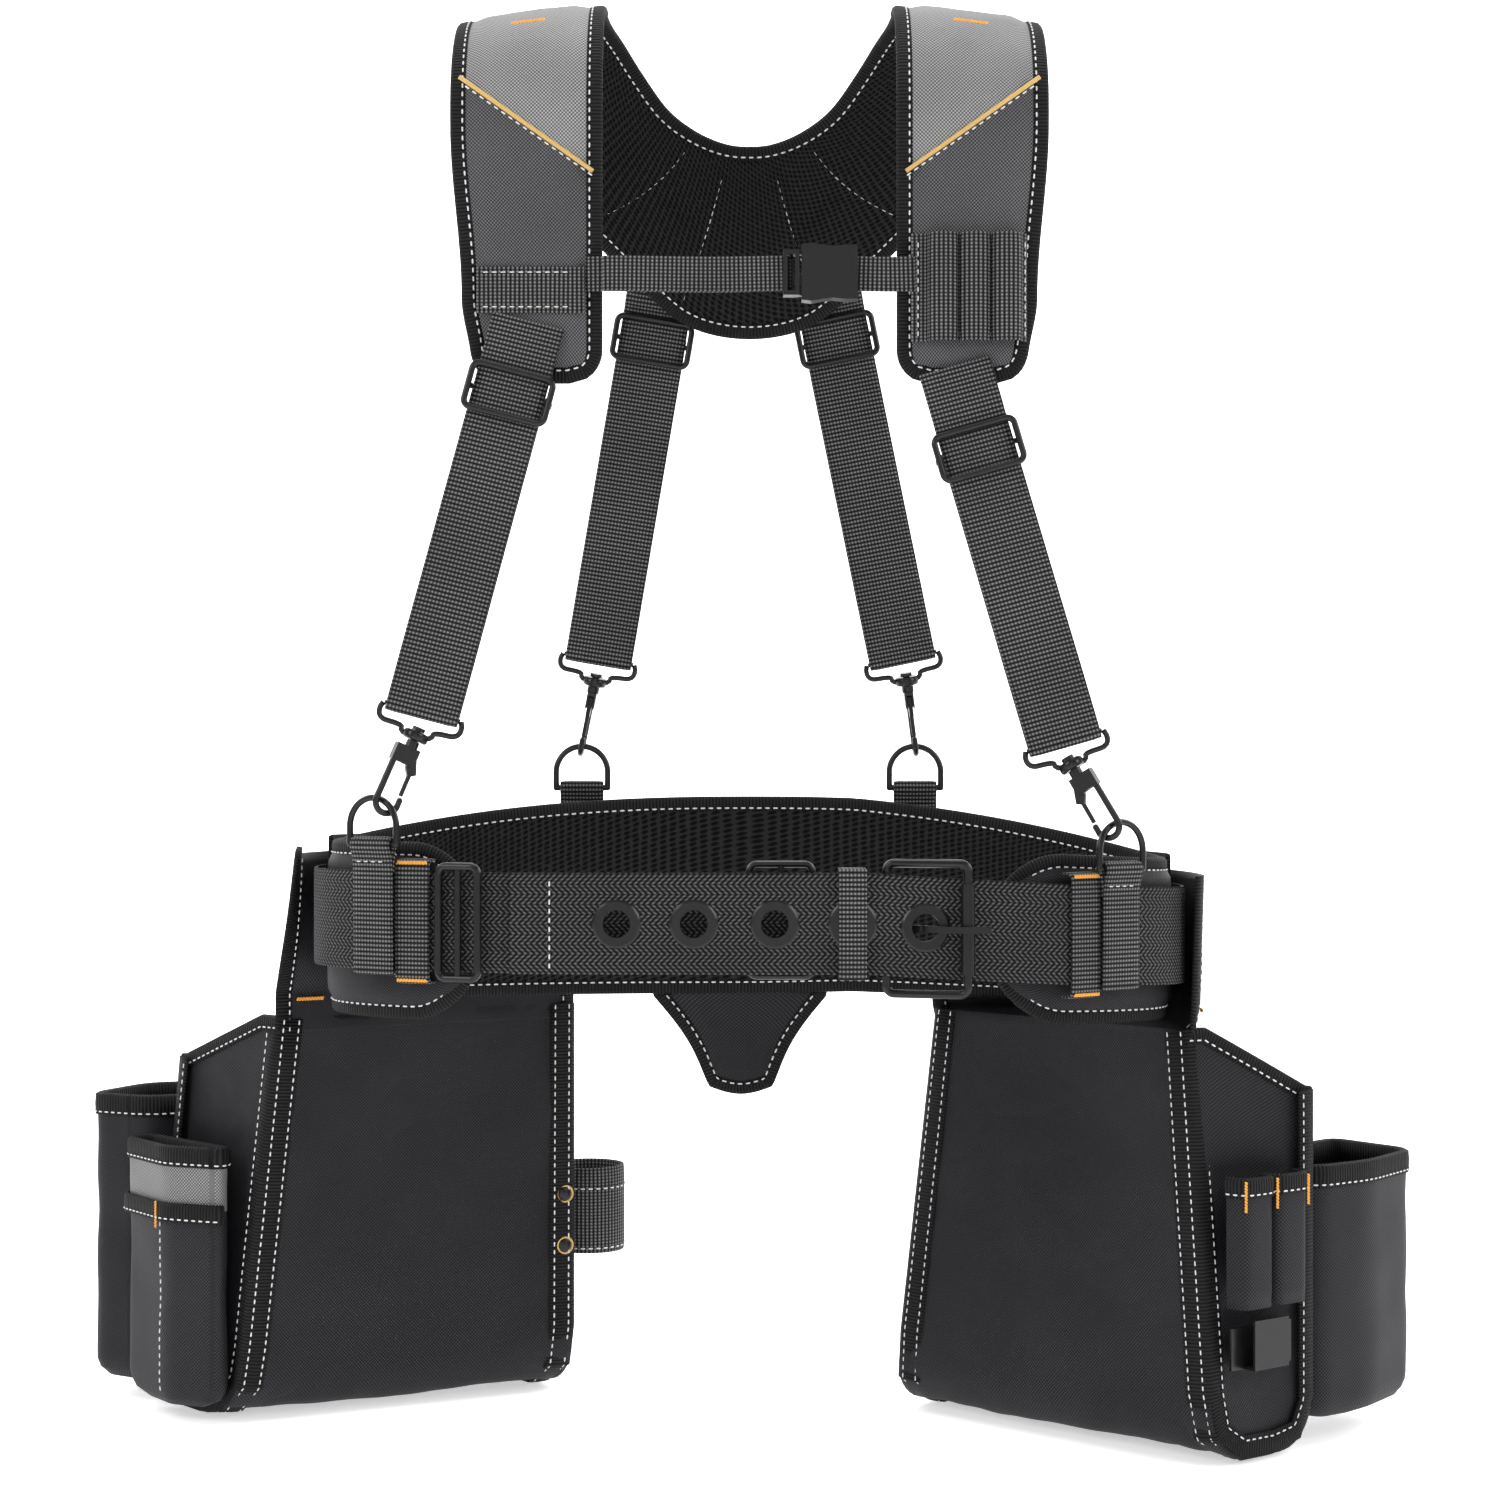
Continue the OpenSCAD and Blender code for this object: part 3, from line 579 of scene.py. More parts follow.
# ---------------------------------------------------------------- shoulder pads and back yoke
def pad_surface(side):
    def f(u, v):
        s = mix(503.0, 254.5, v)
        z = 710 - (s - 359)
        inner, outer = 78.0, 155.0
        if z < 610:
            outer = mix(144.0, 149.0, smooth01((z - 575) / 35))
        elif z < 700:
            outer = mix(149.0, 155.0, smooth01((z - 610) / 90))
        k = max(0.0, min(1.0, (582 - z) / 16))
        bite = 16 * (1 - math.sqrt(1 - k * k))
        a, b = inner + bite, outer - bite
        x = mix(a, b, u) if side > 0 else mix(-b, -a, u)
        return shoulder(x, s)
    return Surface(f)


def shoulder_pad(side, name):
    skin = pad_surface(side)
    pad = quilt(name, skin, 26, 80, 8.6, ("pad_cloth", "mesh"), edge=3.0, ramp=13, open_edges="t",
                relief=wrinkles(0.6, 32, 2.0 + side), stand_for=name, slot="padding")
    outline = [(0, 1), (0, 0.5), (0, 0), (1, 0), (1, 0.5), (1, 1)]
    edge_tape(name + "_binding", skin, outline, 1, w=7, h=2.2)
    # slanting gold piping at the foot of the silver cloth
    xs = [81.5 + i * (69.5 / 29) for i in range(30)]
    pts = [Vector((side * x, -47 - 4.3, PIPING_FOOT + PIPING_SLOPE * x)) for x in xs]
    tube(name + "_piping", pts, 1.15, "gold")
    white.row([p + Vector((0, 0.2, -2.6)) for p in pts], [FRONT] * len(pts))
    orange.bar((side * 116, -40.5, 755.5), (1, 0, -0.12 * side), (0, -0.85, 0.5), 17, 2.0)


shoulder_pad(-1, "left_shoulder_pad")
shoulder_pad(1, "right_shoulder_pad")

half_in = [(79, 254.5), (77, 236), (72, 220), (62, 197), (48, 175), (32, 162), (15, 154.5)]
half_out = [(155, 254.5), (154, 226), (150, 192), (128, 150), (98, 114), (66, 82), (36, 56)]
yoke_in = [(-x, s) for x, s in half_in] + [(0, 152.5)] + half_in[::-1]
yoke_out = [(-x, s) for x, s in half_out] + [(0, 48)] + half_out[::-1]


def yoke_point(u, v):
    a, b = along_list(yoke_out, u), along_list(yoke_in, u)
    return shoulder(mix(a[0], b[0], v), mix(a[1], b[1], v))


yoke_skin = Surface(yoke_point, flip=True)
yoke_seams = [((0.30, 0.12), (0.36, 0.9)), ((0.42, 0.1), (0.44, 0.86)), ((0.58, 0.1), (0.56, 0.86)),
              ((0.70, 0.12), (0.64, 0.9)), ((0.36, 0.55), (0.43, 0.5)), ((0.57, 0.5), (0.64, 0.55))]
yoke = quilt("back_yoke", yoke_skin, 120, 34, 8.6, ("cloth", "mesh"), edge=3.0, ramp=13, open_edges="lr",
             seams=yoke_seams, relief=wrinkles(0.5, 26, 5.0), stand_for="back_yoke", slot="padding")
edge_tape("yoke_neck_binding", yoke_skin, [(0, 1), (0.5, 1), (1, 1)], 1, w=7, h=2.2)
edge_tape("yoke_outer_binding", yoke_skin, [(1, 0), (0.5, 0), (0, 0)], 1, w=7, h=2.2)
for a, b in yoke_seams[:4]:
    pts, nor = yoke_skin.trace([a, b], h=-1.9)
    white.row(pts, [-n for n in nor], r=0.3)


# ---------------------------------------------------------------- chest strap and front webbing
band("left_chest_band", [Vector((x, -52.5, 613 + 0.5 * wobble((x, 0, 0), 20))) for x in range(-142, -85, 4)],
             Z_UP, 24, 1.5, stand_for="left_chest_band", slot="webbing")
for z in (604, 622):
    front_row([Vector((x, -53.3, z)) for x in range(-139, -88, 3)])
strap_pts = [(-84, -53.0, 621), (-70, -53.9, 621), (-20, -54.0, 620.2), (10, -53.9, 621), (19, -54.2, 621),
             (21.3, -55.4, 621), (19, -56.5, 621), (-20, -56.9, 620.4), (-66, -56.7, 621), (-76, -56.4, 621)]
band("chest_strap_left", spline(strap_pts, 2.0), Z_UP, 18, 1.4, stand_for="chest_strap_left", slot="webbing")
band("chest_strap_right", spline([(53, -55.1, 621), (70, -55.0, 620.6), (86, -53.6, 621)], 2.5), Z_UP, 18, 1.5,
     stand_for="chest_strap_right", slot="webbing")

sleeve_plan = [(84, -52.6), (90, -53.0), (92.6, -54.0), (94, -58.0), (97.5, -59.9), (104, -59.9), (107, -58),
               (108.6, -53.6), (110.4, -58), (114, -59.9), (120, -59.9), (123.5, -58), (125.1, -53.6),
               (127, -58), (130.5, -59.9), (136.5, -59.9), (140, -58), (141.6, -54), (144, -52.8)]
band("pen_sleeve", spline([(x, y, 614) for x, y in sleeve_plan], 1.2), Z_UP, 56, 1.4,
     stand_for="pen_sleeve", slot="webbing")
for x in (87.5, 108.6, 125.1, 143):
    front_row([Vector((x, -54.5, z)) for z in range(588, 642, 3)])


# ---------------------------------------------------------------- suspender straps
STRAPS = {
    "front_left": ((-125, -53, 558), (-168.09, -69.72, 393.32), (-193.3, -71, 325.5), -30, 35, 25, 40, -3.4),
    "front_right": ((119, -53, 529), (161.81, -69.54, 378.4), (190.6, -73.1, 313), 35, -35, 155, 46, -4.2),
    "rear_left": ((-55.5, 99.5, 607), (-86.5, 104.04, 425.82), (-96.5, 110.4, 352), 0, 0, -90, 50, -7.4),
    "rear_right": ((50, 99.5, 608), (87.57, 104.03, 426.2), (95.3, 110.4, 352), 0, 0, -90, 50, -7.4),
}


def turned(d):
    """Axes of a piece whose Z lies along d, tilted as the CAD part tilts it."""
    d = d.normalized()
    t = math.atan2(d.x, d.z)
    x = Vector((math.cos(t), 0, -math.sin(t)))
    return x, d.cross(x), d


def suspender(key, top, bar, ring, yaw, lean, roll, up, back):
    top, bar, ring = Vector(top), Vector(bar), Vector(ring)
    x, y, z = turned(top - bar)
    length = (top - bar).length
    at = lambda b, c, a=0.0: bar + x * a + y * b + z * c
    lay = STRAP_LAYER
    path = [(back, length + up), (back, length + 24), (-lay, length + 11), (-lay, length * 0.8),
            (-lay, length * 0.5), (-lay - 0.6, length * 0.25), (-lay, 8), (-lay, 4),
            (-lay * 0.72, -lay * 0.72), (0, -lay), (lay * 0.72, -lay * 0.72), (lay, 4),
            (lay + 0.6, length * 0.25), (lay, length * 0.5), (lay, length * 0.8), (lay, length + 4)]
    band(key + "_strap", spline([at(b, c) for b, c in path], 2.2), x, STRAP_W, STRAP_T,
         stand_for=key + "_strap", slot="webbing")
    # the wire bracket in the fold: a bar, two shoulders and a bent neck that carries the swivel eye
    wire = [(-20.6, 0), (-21.6, -2.6), (-21.2, -6.2), (-18.6, -8.4), (-12, -8.9), (-8.4, -9.8), (-6.8, -12.6)]
    loop = wire + [(-a, b) for a, b in wire[::-1]]
    tube(key + "_bracket", spline([at(0, c, a) for a, c in [(20.6, 0)] + loop + [(20.6, 0)]][1:-1], 1.4),
         1.5, "wire", stand_for=key + "_bracket", slot="wire")
    tube(key + "_bracket_bar", [at(0, 0, a) for a in range(-20, 21, 4)], 1.3, "wire")
    yw, ln = math.radians(yaw), math.radians(lean)
    grip = ring + Vector((14.8 * math.sin(ln) * math.cos(yw), 14.8 * math.sin(ln) * math.sin(yw),
                          9 + 14.8 * math.cos(ln)))
    eye = bar - z * EYE_DROP
    ax, ay, az = turned(eye - grip)
    rows, ring_n = [], 28
    for r, h in ((2.4, -2.4), (5.9, -2.4), (6.7, -1.6), (6.7, 1.6), (5.9, 2.4), (2.4, 2.4)):
        rows.append([eye + ax * (r * math.cos(2 * math.pi * k / ring_n)) + ay * (r * math.sin(2 * math.pi * k / ring_n))
                     + az * h for k in range(ring_n)])
    verts = [p for row in rows for p in row]
    faces = [(j * ring_n + k, j * ring_n + (k + 1) % ring_n, ((j + 1) % 6) * ring_n + (k + 1) % ring_n,
              ((j + 1) % 6) * ring_n + k) for j in range(6) for k in range(ring_n)]
    make(key + "_swivel_eye", verts, faces, "wire")


for key, spec in STRAPS.items():
    suspender(key, *spec)


# webbing that carries the rings
def ring_webbing(name, ring, yaw, low, tuck):
    """Webbing folded round a ring's straight side, low millimetres long, tucked under the belt or not."""
    x, y = level_axes(yaw)
    path = [(0.3, -low + 3), (0, -low * 0.6), (-0.2, -14), (-1.4, -6), (-3.0, -1), (-2.9, 1.2), (-1.5, 2.9),
            (0.4, 3.2), (2.2, 2.4), (3.1, 0), (2.7, -3), (1.5, -8), (1.1, -14)]
    if tuck:
        path = [(7.5, -low + 0.9), (2, -low + 0.8), (0.2, -low + 1.4)] + path
    pts = spline([Vector(ring) + y * b + Z_UP * h for b, h in path], 1.6)
    return band(name, pts, x, 24.5, 1.5, slot="webbing"), x, y


for key, low in (("front_left", 67.2), ("front_right", 62.6)):
    name = key + "_ring_loop"
    ring, yaw = STRAPS[key][2:4]
    loop, x, y = ring_webbing(name, ring, yaw, low, True)
    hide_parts(name)
    row = [Vector(ring) - y * 1.2 + x * a - Z_UP * 9 for a in range(-10, 11, 2)]
    white.row(row, [-y] * len(row), r=0.3)
tab_left = ring_webbing("rear_ring_tab_left", STRAPS["rear_left"][2], 0, 41, False)[0]
ring_webbing("rear_ring_tab_right", STRAPS["rear_right"][2], 0, 41, False)
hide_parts("rear_ring_tabs")


# ---------------------------------------------------------------- waist pad
def pad_low(a):
    return 236 + 6 * max(0.0, math.cos(math.radians(a)))


def pad_top(a):
    return 325 + 21 * max(0.0, math.sin(math.radians(a))) ** 2


def waist_surface(a0, a1, off, low, top, rounded=0.0):
    def f(u, v):
        a = mix(a0, a1, u)
        x, y = waist(a, off)
        lo, hi = low(a), top(a)
        mid, half = (lo + hi) / 2, (hi - lo) / 2
        near = min(a - a0, a1 - a)
        if rounded and near < rounded:
            half *= math.sqrt(max(0.03, 1 - (1 - near / rounded) ** 2))
        return Vector((x, y, mid + half * (2 * v - 1) - drop(x)))
    return Surface(f)


pad_skin = waist_surface(-61, 236, -10.8, pad_low, pad_top, 14)
pad_seams = [((u, 0.12), (u, 0.88)) for u in (0.2, 0.34, 0.44, 0.56, 0.66, 0.8)]
pad_seams += [((0.05, 0.42), (0.95, 0.42))]
waist_pad = quilt("waist_pad", pad_skin, 210, 26, 9.4, ("cloth", "mesh"), edge=3.0, ramp=11, seams=pad_seams,
                  relief=wrinkles(0.5, 30, 8.0), stand_for="waist_pad", slot="padding")
edge_tape("waist_pad_binding", pad_skin, [(0, 0), (0.5, 0), (1, 0), (1, 1), (0.5, 1), (0, 1), (0, 0)], 1,
          w=7, h=2.2)
for x0 in (-96.5, 95.3):
    orange.bar((x0, 90.0, 331), (1, 0, 0), (0, -1, 0), 20, 2.0)

sleeve_skin = waist_surface(14, 166, 4.2, lambda a: 246.0, lambda a: 326.0)
sleeve = quilt("waist_sleeve", sleeve_skin, 110, 14, 2.8, ("cloth",), edge=1.4, ramp=9,
               relief=wrinkles(0.5, 28, 12.0), stand_for="waist_sleeve", slot="padding")
edge_tape("waist_sleeve_binding", sleeve_skin, [(0, 0), (1, 0), (1, 1), (0, 1), (0, 0)], 1,
          w=6, h=1.3, back=False)


def flap_point(u, v):
    z = mix(182.0, 238.0, v)
    k = min(1.0, max(0.0, (z - 182) / 52))
    left = -mix(22.0, 54.0, k ** 0.9) + 5 * math.sin(math.pi * k)
    right = mix(12.0, 43.0, k ** 0.9) - 5 * math.sin(math.pi * k)
    return Vector((mix(left, right, u), 100.5 - 3.0 * v, z - 4 * math.sin(math.pi * u) * (1 - v)))


flap_skin = Surface(flap_point)
flap = quilt("tail_flap", flap_skin, 34, 24, 5.6, ("cloth",), edge=2.4, ramp=11, open_edges="t",
             relief=wrinkles(0.3, 20, 15.0), stand_for="tail_flap", slot="padding")
edge_tape("tail_flap_binding", flap_skin, [(0, 1), (0, 0), (1, 0), (1, 1)], 1, w=6.5, h=1.7)


# ---------------------------------------------------------------- waist webbing
def belting(name, plan, holes=(), slot_at=None, seed=0.0):
    """Upright belt webbing on its plan points, pierced by round holes given as (x, z, radius)."""
    pts = spline([(x, y, 0) for x, y in plan], 1.8)
    tan = tangents(pts)
    cols = 26
    verts, uvs, faces, run = [], [], [], 0.0
    for i, p in enumerate(pts):
        run += (p - pts[i - 1]).length if i else 0.0
        out = Vector((tan[i].y, -tan[i].x, 0))
        for side in (1, -1):
            for j in range(cols + 1):
                z = (j / cols - 0.5) * BELT_W
                h = BELT_T / 2 * (0.7 if j in (0, cols) else 1.0) * side
                verts.append(Vector((p.x, p.y, BELT_Z - drop(p.x) + z)) + out * h)
                uvs.append((z, run))
    row = 2 * (cols + 1)

    def gone(i, j):
        q = pts[i]
        z = ((j + 0.5) / cols - 0.5) * BELT_W
        if slot_at and abs(z) < 5.2 and (q - slot_at).length < 7.5 and i > 20:
            return True
        return any(q.y < -80 and math.hypot(q.x - x, z) < r for x, r in holes)

    for i in range(len(pts) - 1):
        for side in (0, 1):
            for j in range(cols):
                if gone(i, j):
                    continue
                a = i * row + side * (cols + 1) + j
                quad = (a, a + 1, a + 1 + row, a + row)
                faces.append(quad if side else quad[::-1])
        for j in (0, cols):
            a = i * row + j
            b = a + cols + 1
            faces.append((a, b, b + row, a + row))
    for i in (0, len(pts) - 1):
        for j in range(cols):
            a = i * row + j
            faces.append((a, a + 1, a + 2 + cols, a + 1 + cols))
    make(name, verts, faces, "belt", uvs, stand_for=name, slot="webbing")


BUCKLE_BAR = Vector((69.4, -91.3, 0))
fold_r = 2.2 + 0.4 + BELT_T / 2
fold = [(69.4 + c, -91.3 + s) for c, s in (polar(fold_r, a) for a in range(-90, 91, 20))]
belting("buckle_strap", [(22, -95.0), (50, -95.0)] + fold + [(50, -87.6), (0, -87.7), (-60, -88.4), (-100, -89),
        (-121, -88.4), (-140, -84.2)] + [waist(a) for a in range(222, 95, -6)], slot_at=BUCKLE_BAR)
HOLES = (-67, -28, 12.8, 52, 88.6)
belting("tongue_strap", [waist(a) for a in range(84, -37, -6)] + [(165, -83.5), (140, -91), (118, -96), (104, -97.4),
        (80, -99), (60, -99.3), (0, -98.6), (-60, -97.4), (-100, -95.6), (-117, -94.8), (-121, -94.6)],
        holes=[(x, 8.4) for x in HOLES])
pts = [Vector((-101, -96.9, z)) for z in range(263, 310, 2)]
white.row(pts, [FRONT] * len(pts))

loop = [(-94, 313.1), (-87, 313.1), (-85, 311), (-84.8, 286), (-85, 261), (-87, 258.9), (-94, 258.9), (-101.5, 258.9),
        (-103.6, 261), (-103.8, 286), (-103.6, 311), (-101.5, 313.1)]
keeper = spline([(52, y, z) for y, z in loop + loop[:1]], 1.8)[:-1]
tan = tangents(keeper, True)
sweep("belt_keeper", keeper, [Vector((1, 0, 0))] * len(keeper), [Vector((1, 0, 0)).cross(t) for t in tan],
      flat_profile(14, 1.4), "web", closed=True, stand_for="belt_keeper", slot="webbing", body="belt_keeper")

# section of a hip loop: distance behind its middle, and height
HIP_PATH = [(5.4, -31.4), (0.5, -31.3), (-2.0, -29.6), (-2.8, -26), (-2.9, 0), (-2.8, 26), (-2.0, 29.6),
            (0.5, 31.3), (5.4, 31.4)]
for name, mid, yaw in (("left_hip_loop", (-171.5, -73.8, BELT_Z), -20),
                       ("right_hip_loop", (170, -79.9, BELT_Z - 6.8), 35)):
    x, y = level_axes(yaw)
    band(name, spline([Vector(mid) + y * b + Z_UP * h for b, h in HIP_PATH], 1.8), x, 19, 1.5,
         stand_for=name, slot="webbing")
    for h in (-30.0, 30.0):
        orange.bar(Vector(mid) - y * 3.2 + Z_UP * h, x, -y + Z_UP * (0.5 if h > 0 else -0.5), 16, 2.2)


# ---------------------------------------------------------------- tool bags
# plan corners at the foot and at the top: near and far end of the back panel, far and near end of the outer wall
LEFT_FOOT = [(-285, 48), (-104, 135), (-149, 197), (-342, 107)]
LEFT_TOP = [(-260, 38), (-104, 135), (-149, 197), (-322, 98)]
RIGHT_FOOT = [(242, -53), (83, 89), (145, 150), (300, -8)]
RIGHT_TOP = [(231, -32), (108, 98), (145, 150), (300, -8)]


class Bag:
    """A bag cut from one wrap, down the back panel, under and up the outer wall, with an end cloth each side.

    bend is the radius of the wrap under the bag; fall is how far the rim sinks from panel to outer wall.
    """

    def __init__(self, foot, top, bend, fall):
        self.c = [Vector((*p, 0)) for p in foot]
        self.up = [Vector((*p, 0)) for p in top]
        self.fall = fall
        along = (self.c[1] - self.c[0]).normalized()
        self.out = Vector((-along.y, along.x, 0))
        if (self.c[3] - self.c[0]).dot(self.out) < 0:
            self.out = -self.out
        self.depth = ((self.c[3] - self.c[0]).dot(self.out) + (self.c[2] - self.c[1]).dot(self.out)) / 2
        self.bend = bend

    def top(self, b):
        return min(BAG_H, 232 - self.fall * b / self.depth)

    def plan(self, u, b, z=0.0):
        """Plan point at u along the bag, b millimetres out from the back panel, at height z."""
        k = b / self.depth
        c = [a.lerp(t, z / BAG_H) for a, t in zip(self.c, self.up)]
        return c[0].lerp(c[3], k).lerp(c[1].lerp(c[2], k), u)

    def squeeze(self, z):
        k = max(0.0, 1 - z / self.bend)
        return self.bend * (1 - math.sqrt(max(0.0, 1 - k * k)))

    def section(self):
        """The wrap's line in depth and height, from the back panel's top down and up to the outer rim."""
        r, d = self.bend, self.depth
        line = [(0.0, BAG_H)] + [(0.0, z) for z in range(210, int(r), -14)]
        turn = [polar(r, a) for a in range(0, 91, 10)]
        line += [(r - c, r - s) for c, s in turn]
        line += [(d - r + s, r - c) for c, s in turn]
        return line + [(d, z) for z in range(int(r) + 14, int(self.top(d)) - 6, 14)] + [(d, self.top(d))]

    def wrap(self):
        line = self.section()
        run = [0.0]
        for a, b in zip(line, line[1:]):
            run.append(run[-1] + math.dist(a, b))

        def f(u, v):
            x = min(max(v, 0.0), 1.0) * run[-1]
            i = 0
            while i < len(run) - 2 and run[i + 1] < x:
                i += 1
            t = (x - run[i]) / (run[i + 1] - run[i])
            b, z = mix(line[i][0], line[i + 1][0], t), mix(line[i][1], line[i + 1][1], t)
            sag = math.sin(math.pi * u)
            p = self.plan(u, b, z)
            inward = 1 if b < self.depth / 2 else -1
            lift = 3.2 * sag * math.sin(math.pi * min(1.0, z / 200)) * (0.5 + 0.5 * wobble(p + Z_UP * z, 70, 4.0))
            return p + self.out * (inward * lift) + Z_UP * (z + 3.2 * (1 - z / BAG_H))
        return f

    def end(self, u_end):
        def f(u, v):
            b = u * self.depth
            z = v * (self.top(b) - 2) + 1.6
            e = self.squeeze(z - 1.6)
            b = mix(e, self.depth - e, u)
            p = self.plan(u_end, b, z)
            inside = (self.plan(1 - u_end, b, z) - p).normalized()
            dent = 4.5 * math.sin(math.pi * u) * math.sin(math.pi * min(1, v * 1.1))
            dent *= 0.7 + 0.3 * wobble(p + Z_UP * z, 30)
            return p + inside * (1.5 + dent) + Z_UP * z
        return f


def outward(surface, centre, u=0.5, v=0.5):
    """Sets the sheet's flip so that its normal points away from a point."""
    if surface.normal(u, v).dot(surface.f(u, v) - centre) < 0:
        surface.flip = -surface.flip
    return surface


def join(name, parts):
    """Lets the first of several cloth pieces stand for the CAD node, by hiding that node."""
    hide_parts(name)
    for p in parts:
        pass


def build_bag(name, bag):
    centre = sum(bag.c, Vector()) / 4 + Z_UP * 110
    skin = outward(Surface(bag.wrap()), centre)
    body = quilt(name, skin, 64, 110, 2.4, ("cloth",), edge=2.4, ramp=20, relief=wrinkles(2.4, 62, 21.0))
    parts = [body]
    for u_end in (0, 1):
        end = outward(Surface(bag.end(u_end)), centre)
        parts.append(quilt(f"{name}_end_{u_end}", end, 26, 60, 2.2, ("cloth",), edge=2.2, ramp=12,
                           relief=wrinkles(1.6, 38, 25.0 + u_end)))
        # wide binding down one corner, under the bag and up the other
        pts, nor = skin.trace([(u_end, 0), (u_end, 1)], step=4.0)
        tan = tangents(pts)
        inside = bag.plan(1 - u_end, 30) - bag.plan(u_end, 30)
        inward = [n.cross(t).normalized() for n, t in zip(nor, tan)]
        inward = [i if i.dot(inside) > 0 else -i for i in inward]
        profile = [(14.5, 1.3), (14.5, 2.0), (8, 2.5), (1.5, 2.4), (-1.2, 1.2), (-1.4, -4), (-1.3, -11), (0.3, -11),
                   (0.2, -3), (0.3, 0.6), (1.6, 1.3)]
        parts.append(sweep(f"{name}_end_{u_end}_binding", pts, inward, nor, profile, "tape"))
        for gap in (3.0, 12.0):
            white.row([p + i * gap + n * 2.35 for p, i, n in zip(pts, inward, nor)], nor)
        side_n = [-i for i in inward]
        white.row([p - i * 1.4 - n * 8.5 for p, i, n in zip(pts, inward, nor)], side_n)
        rim, nor_r = end.trace([(0, 1), (1, 1)], step=4.0)
        tape_over(f"{name}_end_{u_end}_rim", rim, nor_r, 2.2, 7, parts)
    rim, nor_r = skin.trace([(0, 1), (1, 1)], step=4.0)
    tape_over(name + "_outer_rim", rim, nor_r, 2.4, 9, parts)
    join(name, parts)


def tape_over(name, pts, nor, wall, fall, parts, closed=False, stitch=True):
    """Binding folded over a top edge; the stitches run along its outer face."""
    w = wall / 2
    profile = [(-fall, w + 0.9), (-fall * 0.4, w + 1.2), (0.6, w + 0.9), (1.7, 0), (0.6, -w - 0.9),
               (-fall * 0.4, -w - 1.2), (-fall, -w - 0.9), (-fall, -w), (-0.4, 0), (-fall, w)]
    up = []
    for t, n in zip(tangents(pts, closed), nor):
        u = n.cross(t).normalized()
        up.append(u if u.z > 0 else -u)
    parts.append(sweep(name, pts, up, nor, profile, "tape", closed=closed))
    if stitch:
        ends = pts + pts[:1] if closed else pts
        white.row([p - u * (fall - 1.8) + n * (w + 1.1) for p, u, n in zip(ends, up + up[:1], nor + nor[:1])],
                  nor + nor[:1])


def round_poly(poly, r, step=3.5):
    """Even points round a polygon with its corners rounded."""
    pts, n = [], len(poly)
    for i in range(n):
        a, b, c = (Vector((*poly[(i + k) % n], 0)) for k in (-1, 0, 1))
        cut = min(r, (a - b).length * 0.45, (c - b).length * 0.45)
        p, q = b + (a - b).normalized() * cut, b + (c - b).normalized() * cut
        for k in range(7):
            t = k / 6
            pts.append((1 - t) ** 2 * p + 2 * t * (1 - t) * b + t * t * q)
    out = []
    for a, b in zip(pts, pts[1:] + pts[:1]):
        m = max(1, round((b - a).length / step))
        out += [a.lerp(b, k / m) for k in range(m)]
    return out


def inset(ring, d):
    n, out = len(ring), []
    area = sum(a.x * b.y - b.x * a.y for a, b in zip(ring, ring[1:] + ring[:1]))
    sign = 1 if area > 0 else -1
    for i in range(n):
        t = (ring[(i + 1) % n] - ring[i - 1]).normalized()
        out.append(ring[i] + Vector((-t.y, t.x, 0)) * d * sign)
    return out


def pouch(name, poly, z0, z1, wall, r, tape, seed, mats=("cloth",), band_z=None, bulge=2.0):
    """An open pocket from z0 to z1 with rounded corners and a rounded foot, bound along its rim.

    The second of mats shows outside between the two heights of band_z.
    """
    foot, rows = 16.0, 34
    ring = round_poly(poly, r)
    centre = sum(ring, Vector()) / len(ring)
    inner = inset(ring, wall)
    normal = [(a - b).normalized() for a, b in zip(ring, inner)]
    n = len(ring)
    verts, uvs, faces, index = [], [], [], []
    run = [0.0]
    for a, b in zip(ring, ring[1:]):
        run.append(run[-1] + (b - a).length)

    def level(base, i, k, inside):
        z = mix(z0, z1, k)
        low = max(0.0, 1 - (z - z0) / foot)
        shrink = 1 - 0.42 * (1 - math.sqrt(max(0.0, 1 - low * low)))
        p = centre.lerp(base[i], shrink)
        swell = bulge * math.sin(math.pi * k) * (0.4 + wobble(p + Z_UP * z, 36, seed))
        floor_lift = wall if inside and k == 0 else 0
        return p + normal[i] * (swell - 0.8 * bulge * math.sin(math.pi * k)) + Z_UP * (z + floor_lift)

    for inside, base in ((False, ring), (True, inner)):
        ks = [k / rows for k in range(rows + 1)]
        for k in ks if not inside else ks[::-1]:
            for i in range(n):
                p = level(base, i, k, inside)
                verts.append(p)
                uvs.append((run[i], p.z))
    total = 2 * (rows + 1)
    for j in range(total - 1):
        for i in range(n):
            a, b = j * n + i, j * n + (i + 1) % n
            faces.append((a, b, b + n, a + n))
            z = verts[a].z
            index.append(1 if band_z and band_z[0] < z < band_z[1] and j < rows else 0)
    faces.append(tuple(range(n))[::-1])
    faces.append(tuple((total - 1) * n + i for i in range(n)))
    index += [0, 0]
    parts = [make(name, verts, faces, list(mats), uvs, index if len(mats) > 1 else None)]
    mid = [p - a * wall / 2 for p, a in zip(ring, normal)]
    tape_over(name + "_rim", [Vector((p.x, p.y, z1)) for p in mid], normal, wall, tape, parts, True)
    return parts, ring, normal, level


left = Bag(LEFT_FOOT, LEFT_TOP, 27, 33.7)
right = Bag(RIGHT_FOOT, RIGHT_TOP, 25, 40.0)
build_bag("left_bag_body", left)
build_bag("right_bag_body", right)


def outer(p, q):
    """The one of two plan points that lies farther outside the belt loop."""
    size = lambda r: math.hypot(r[0] / WAIST_A, r[1] / WAIST_BACK)
    return p if size(p) > size(q) else q


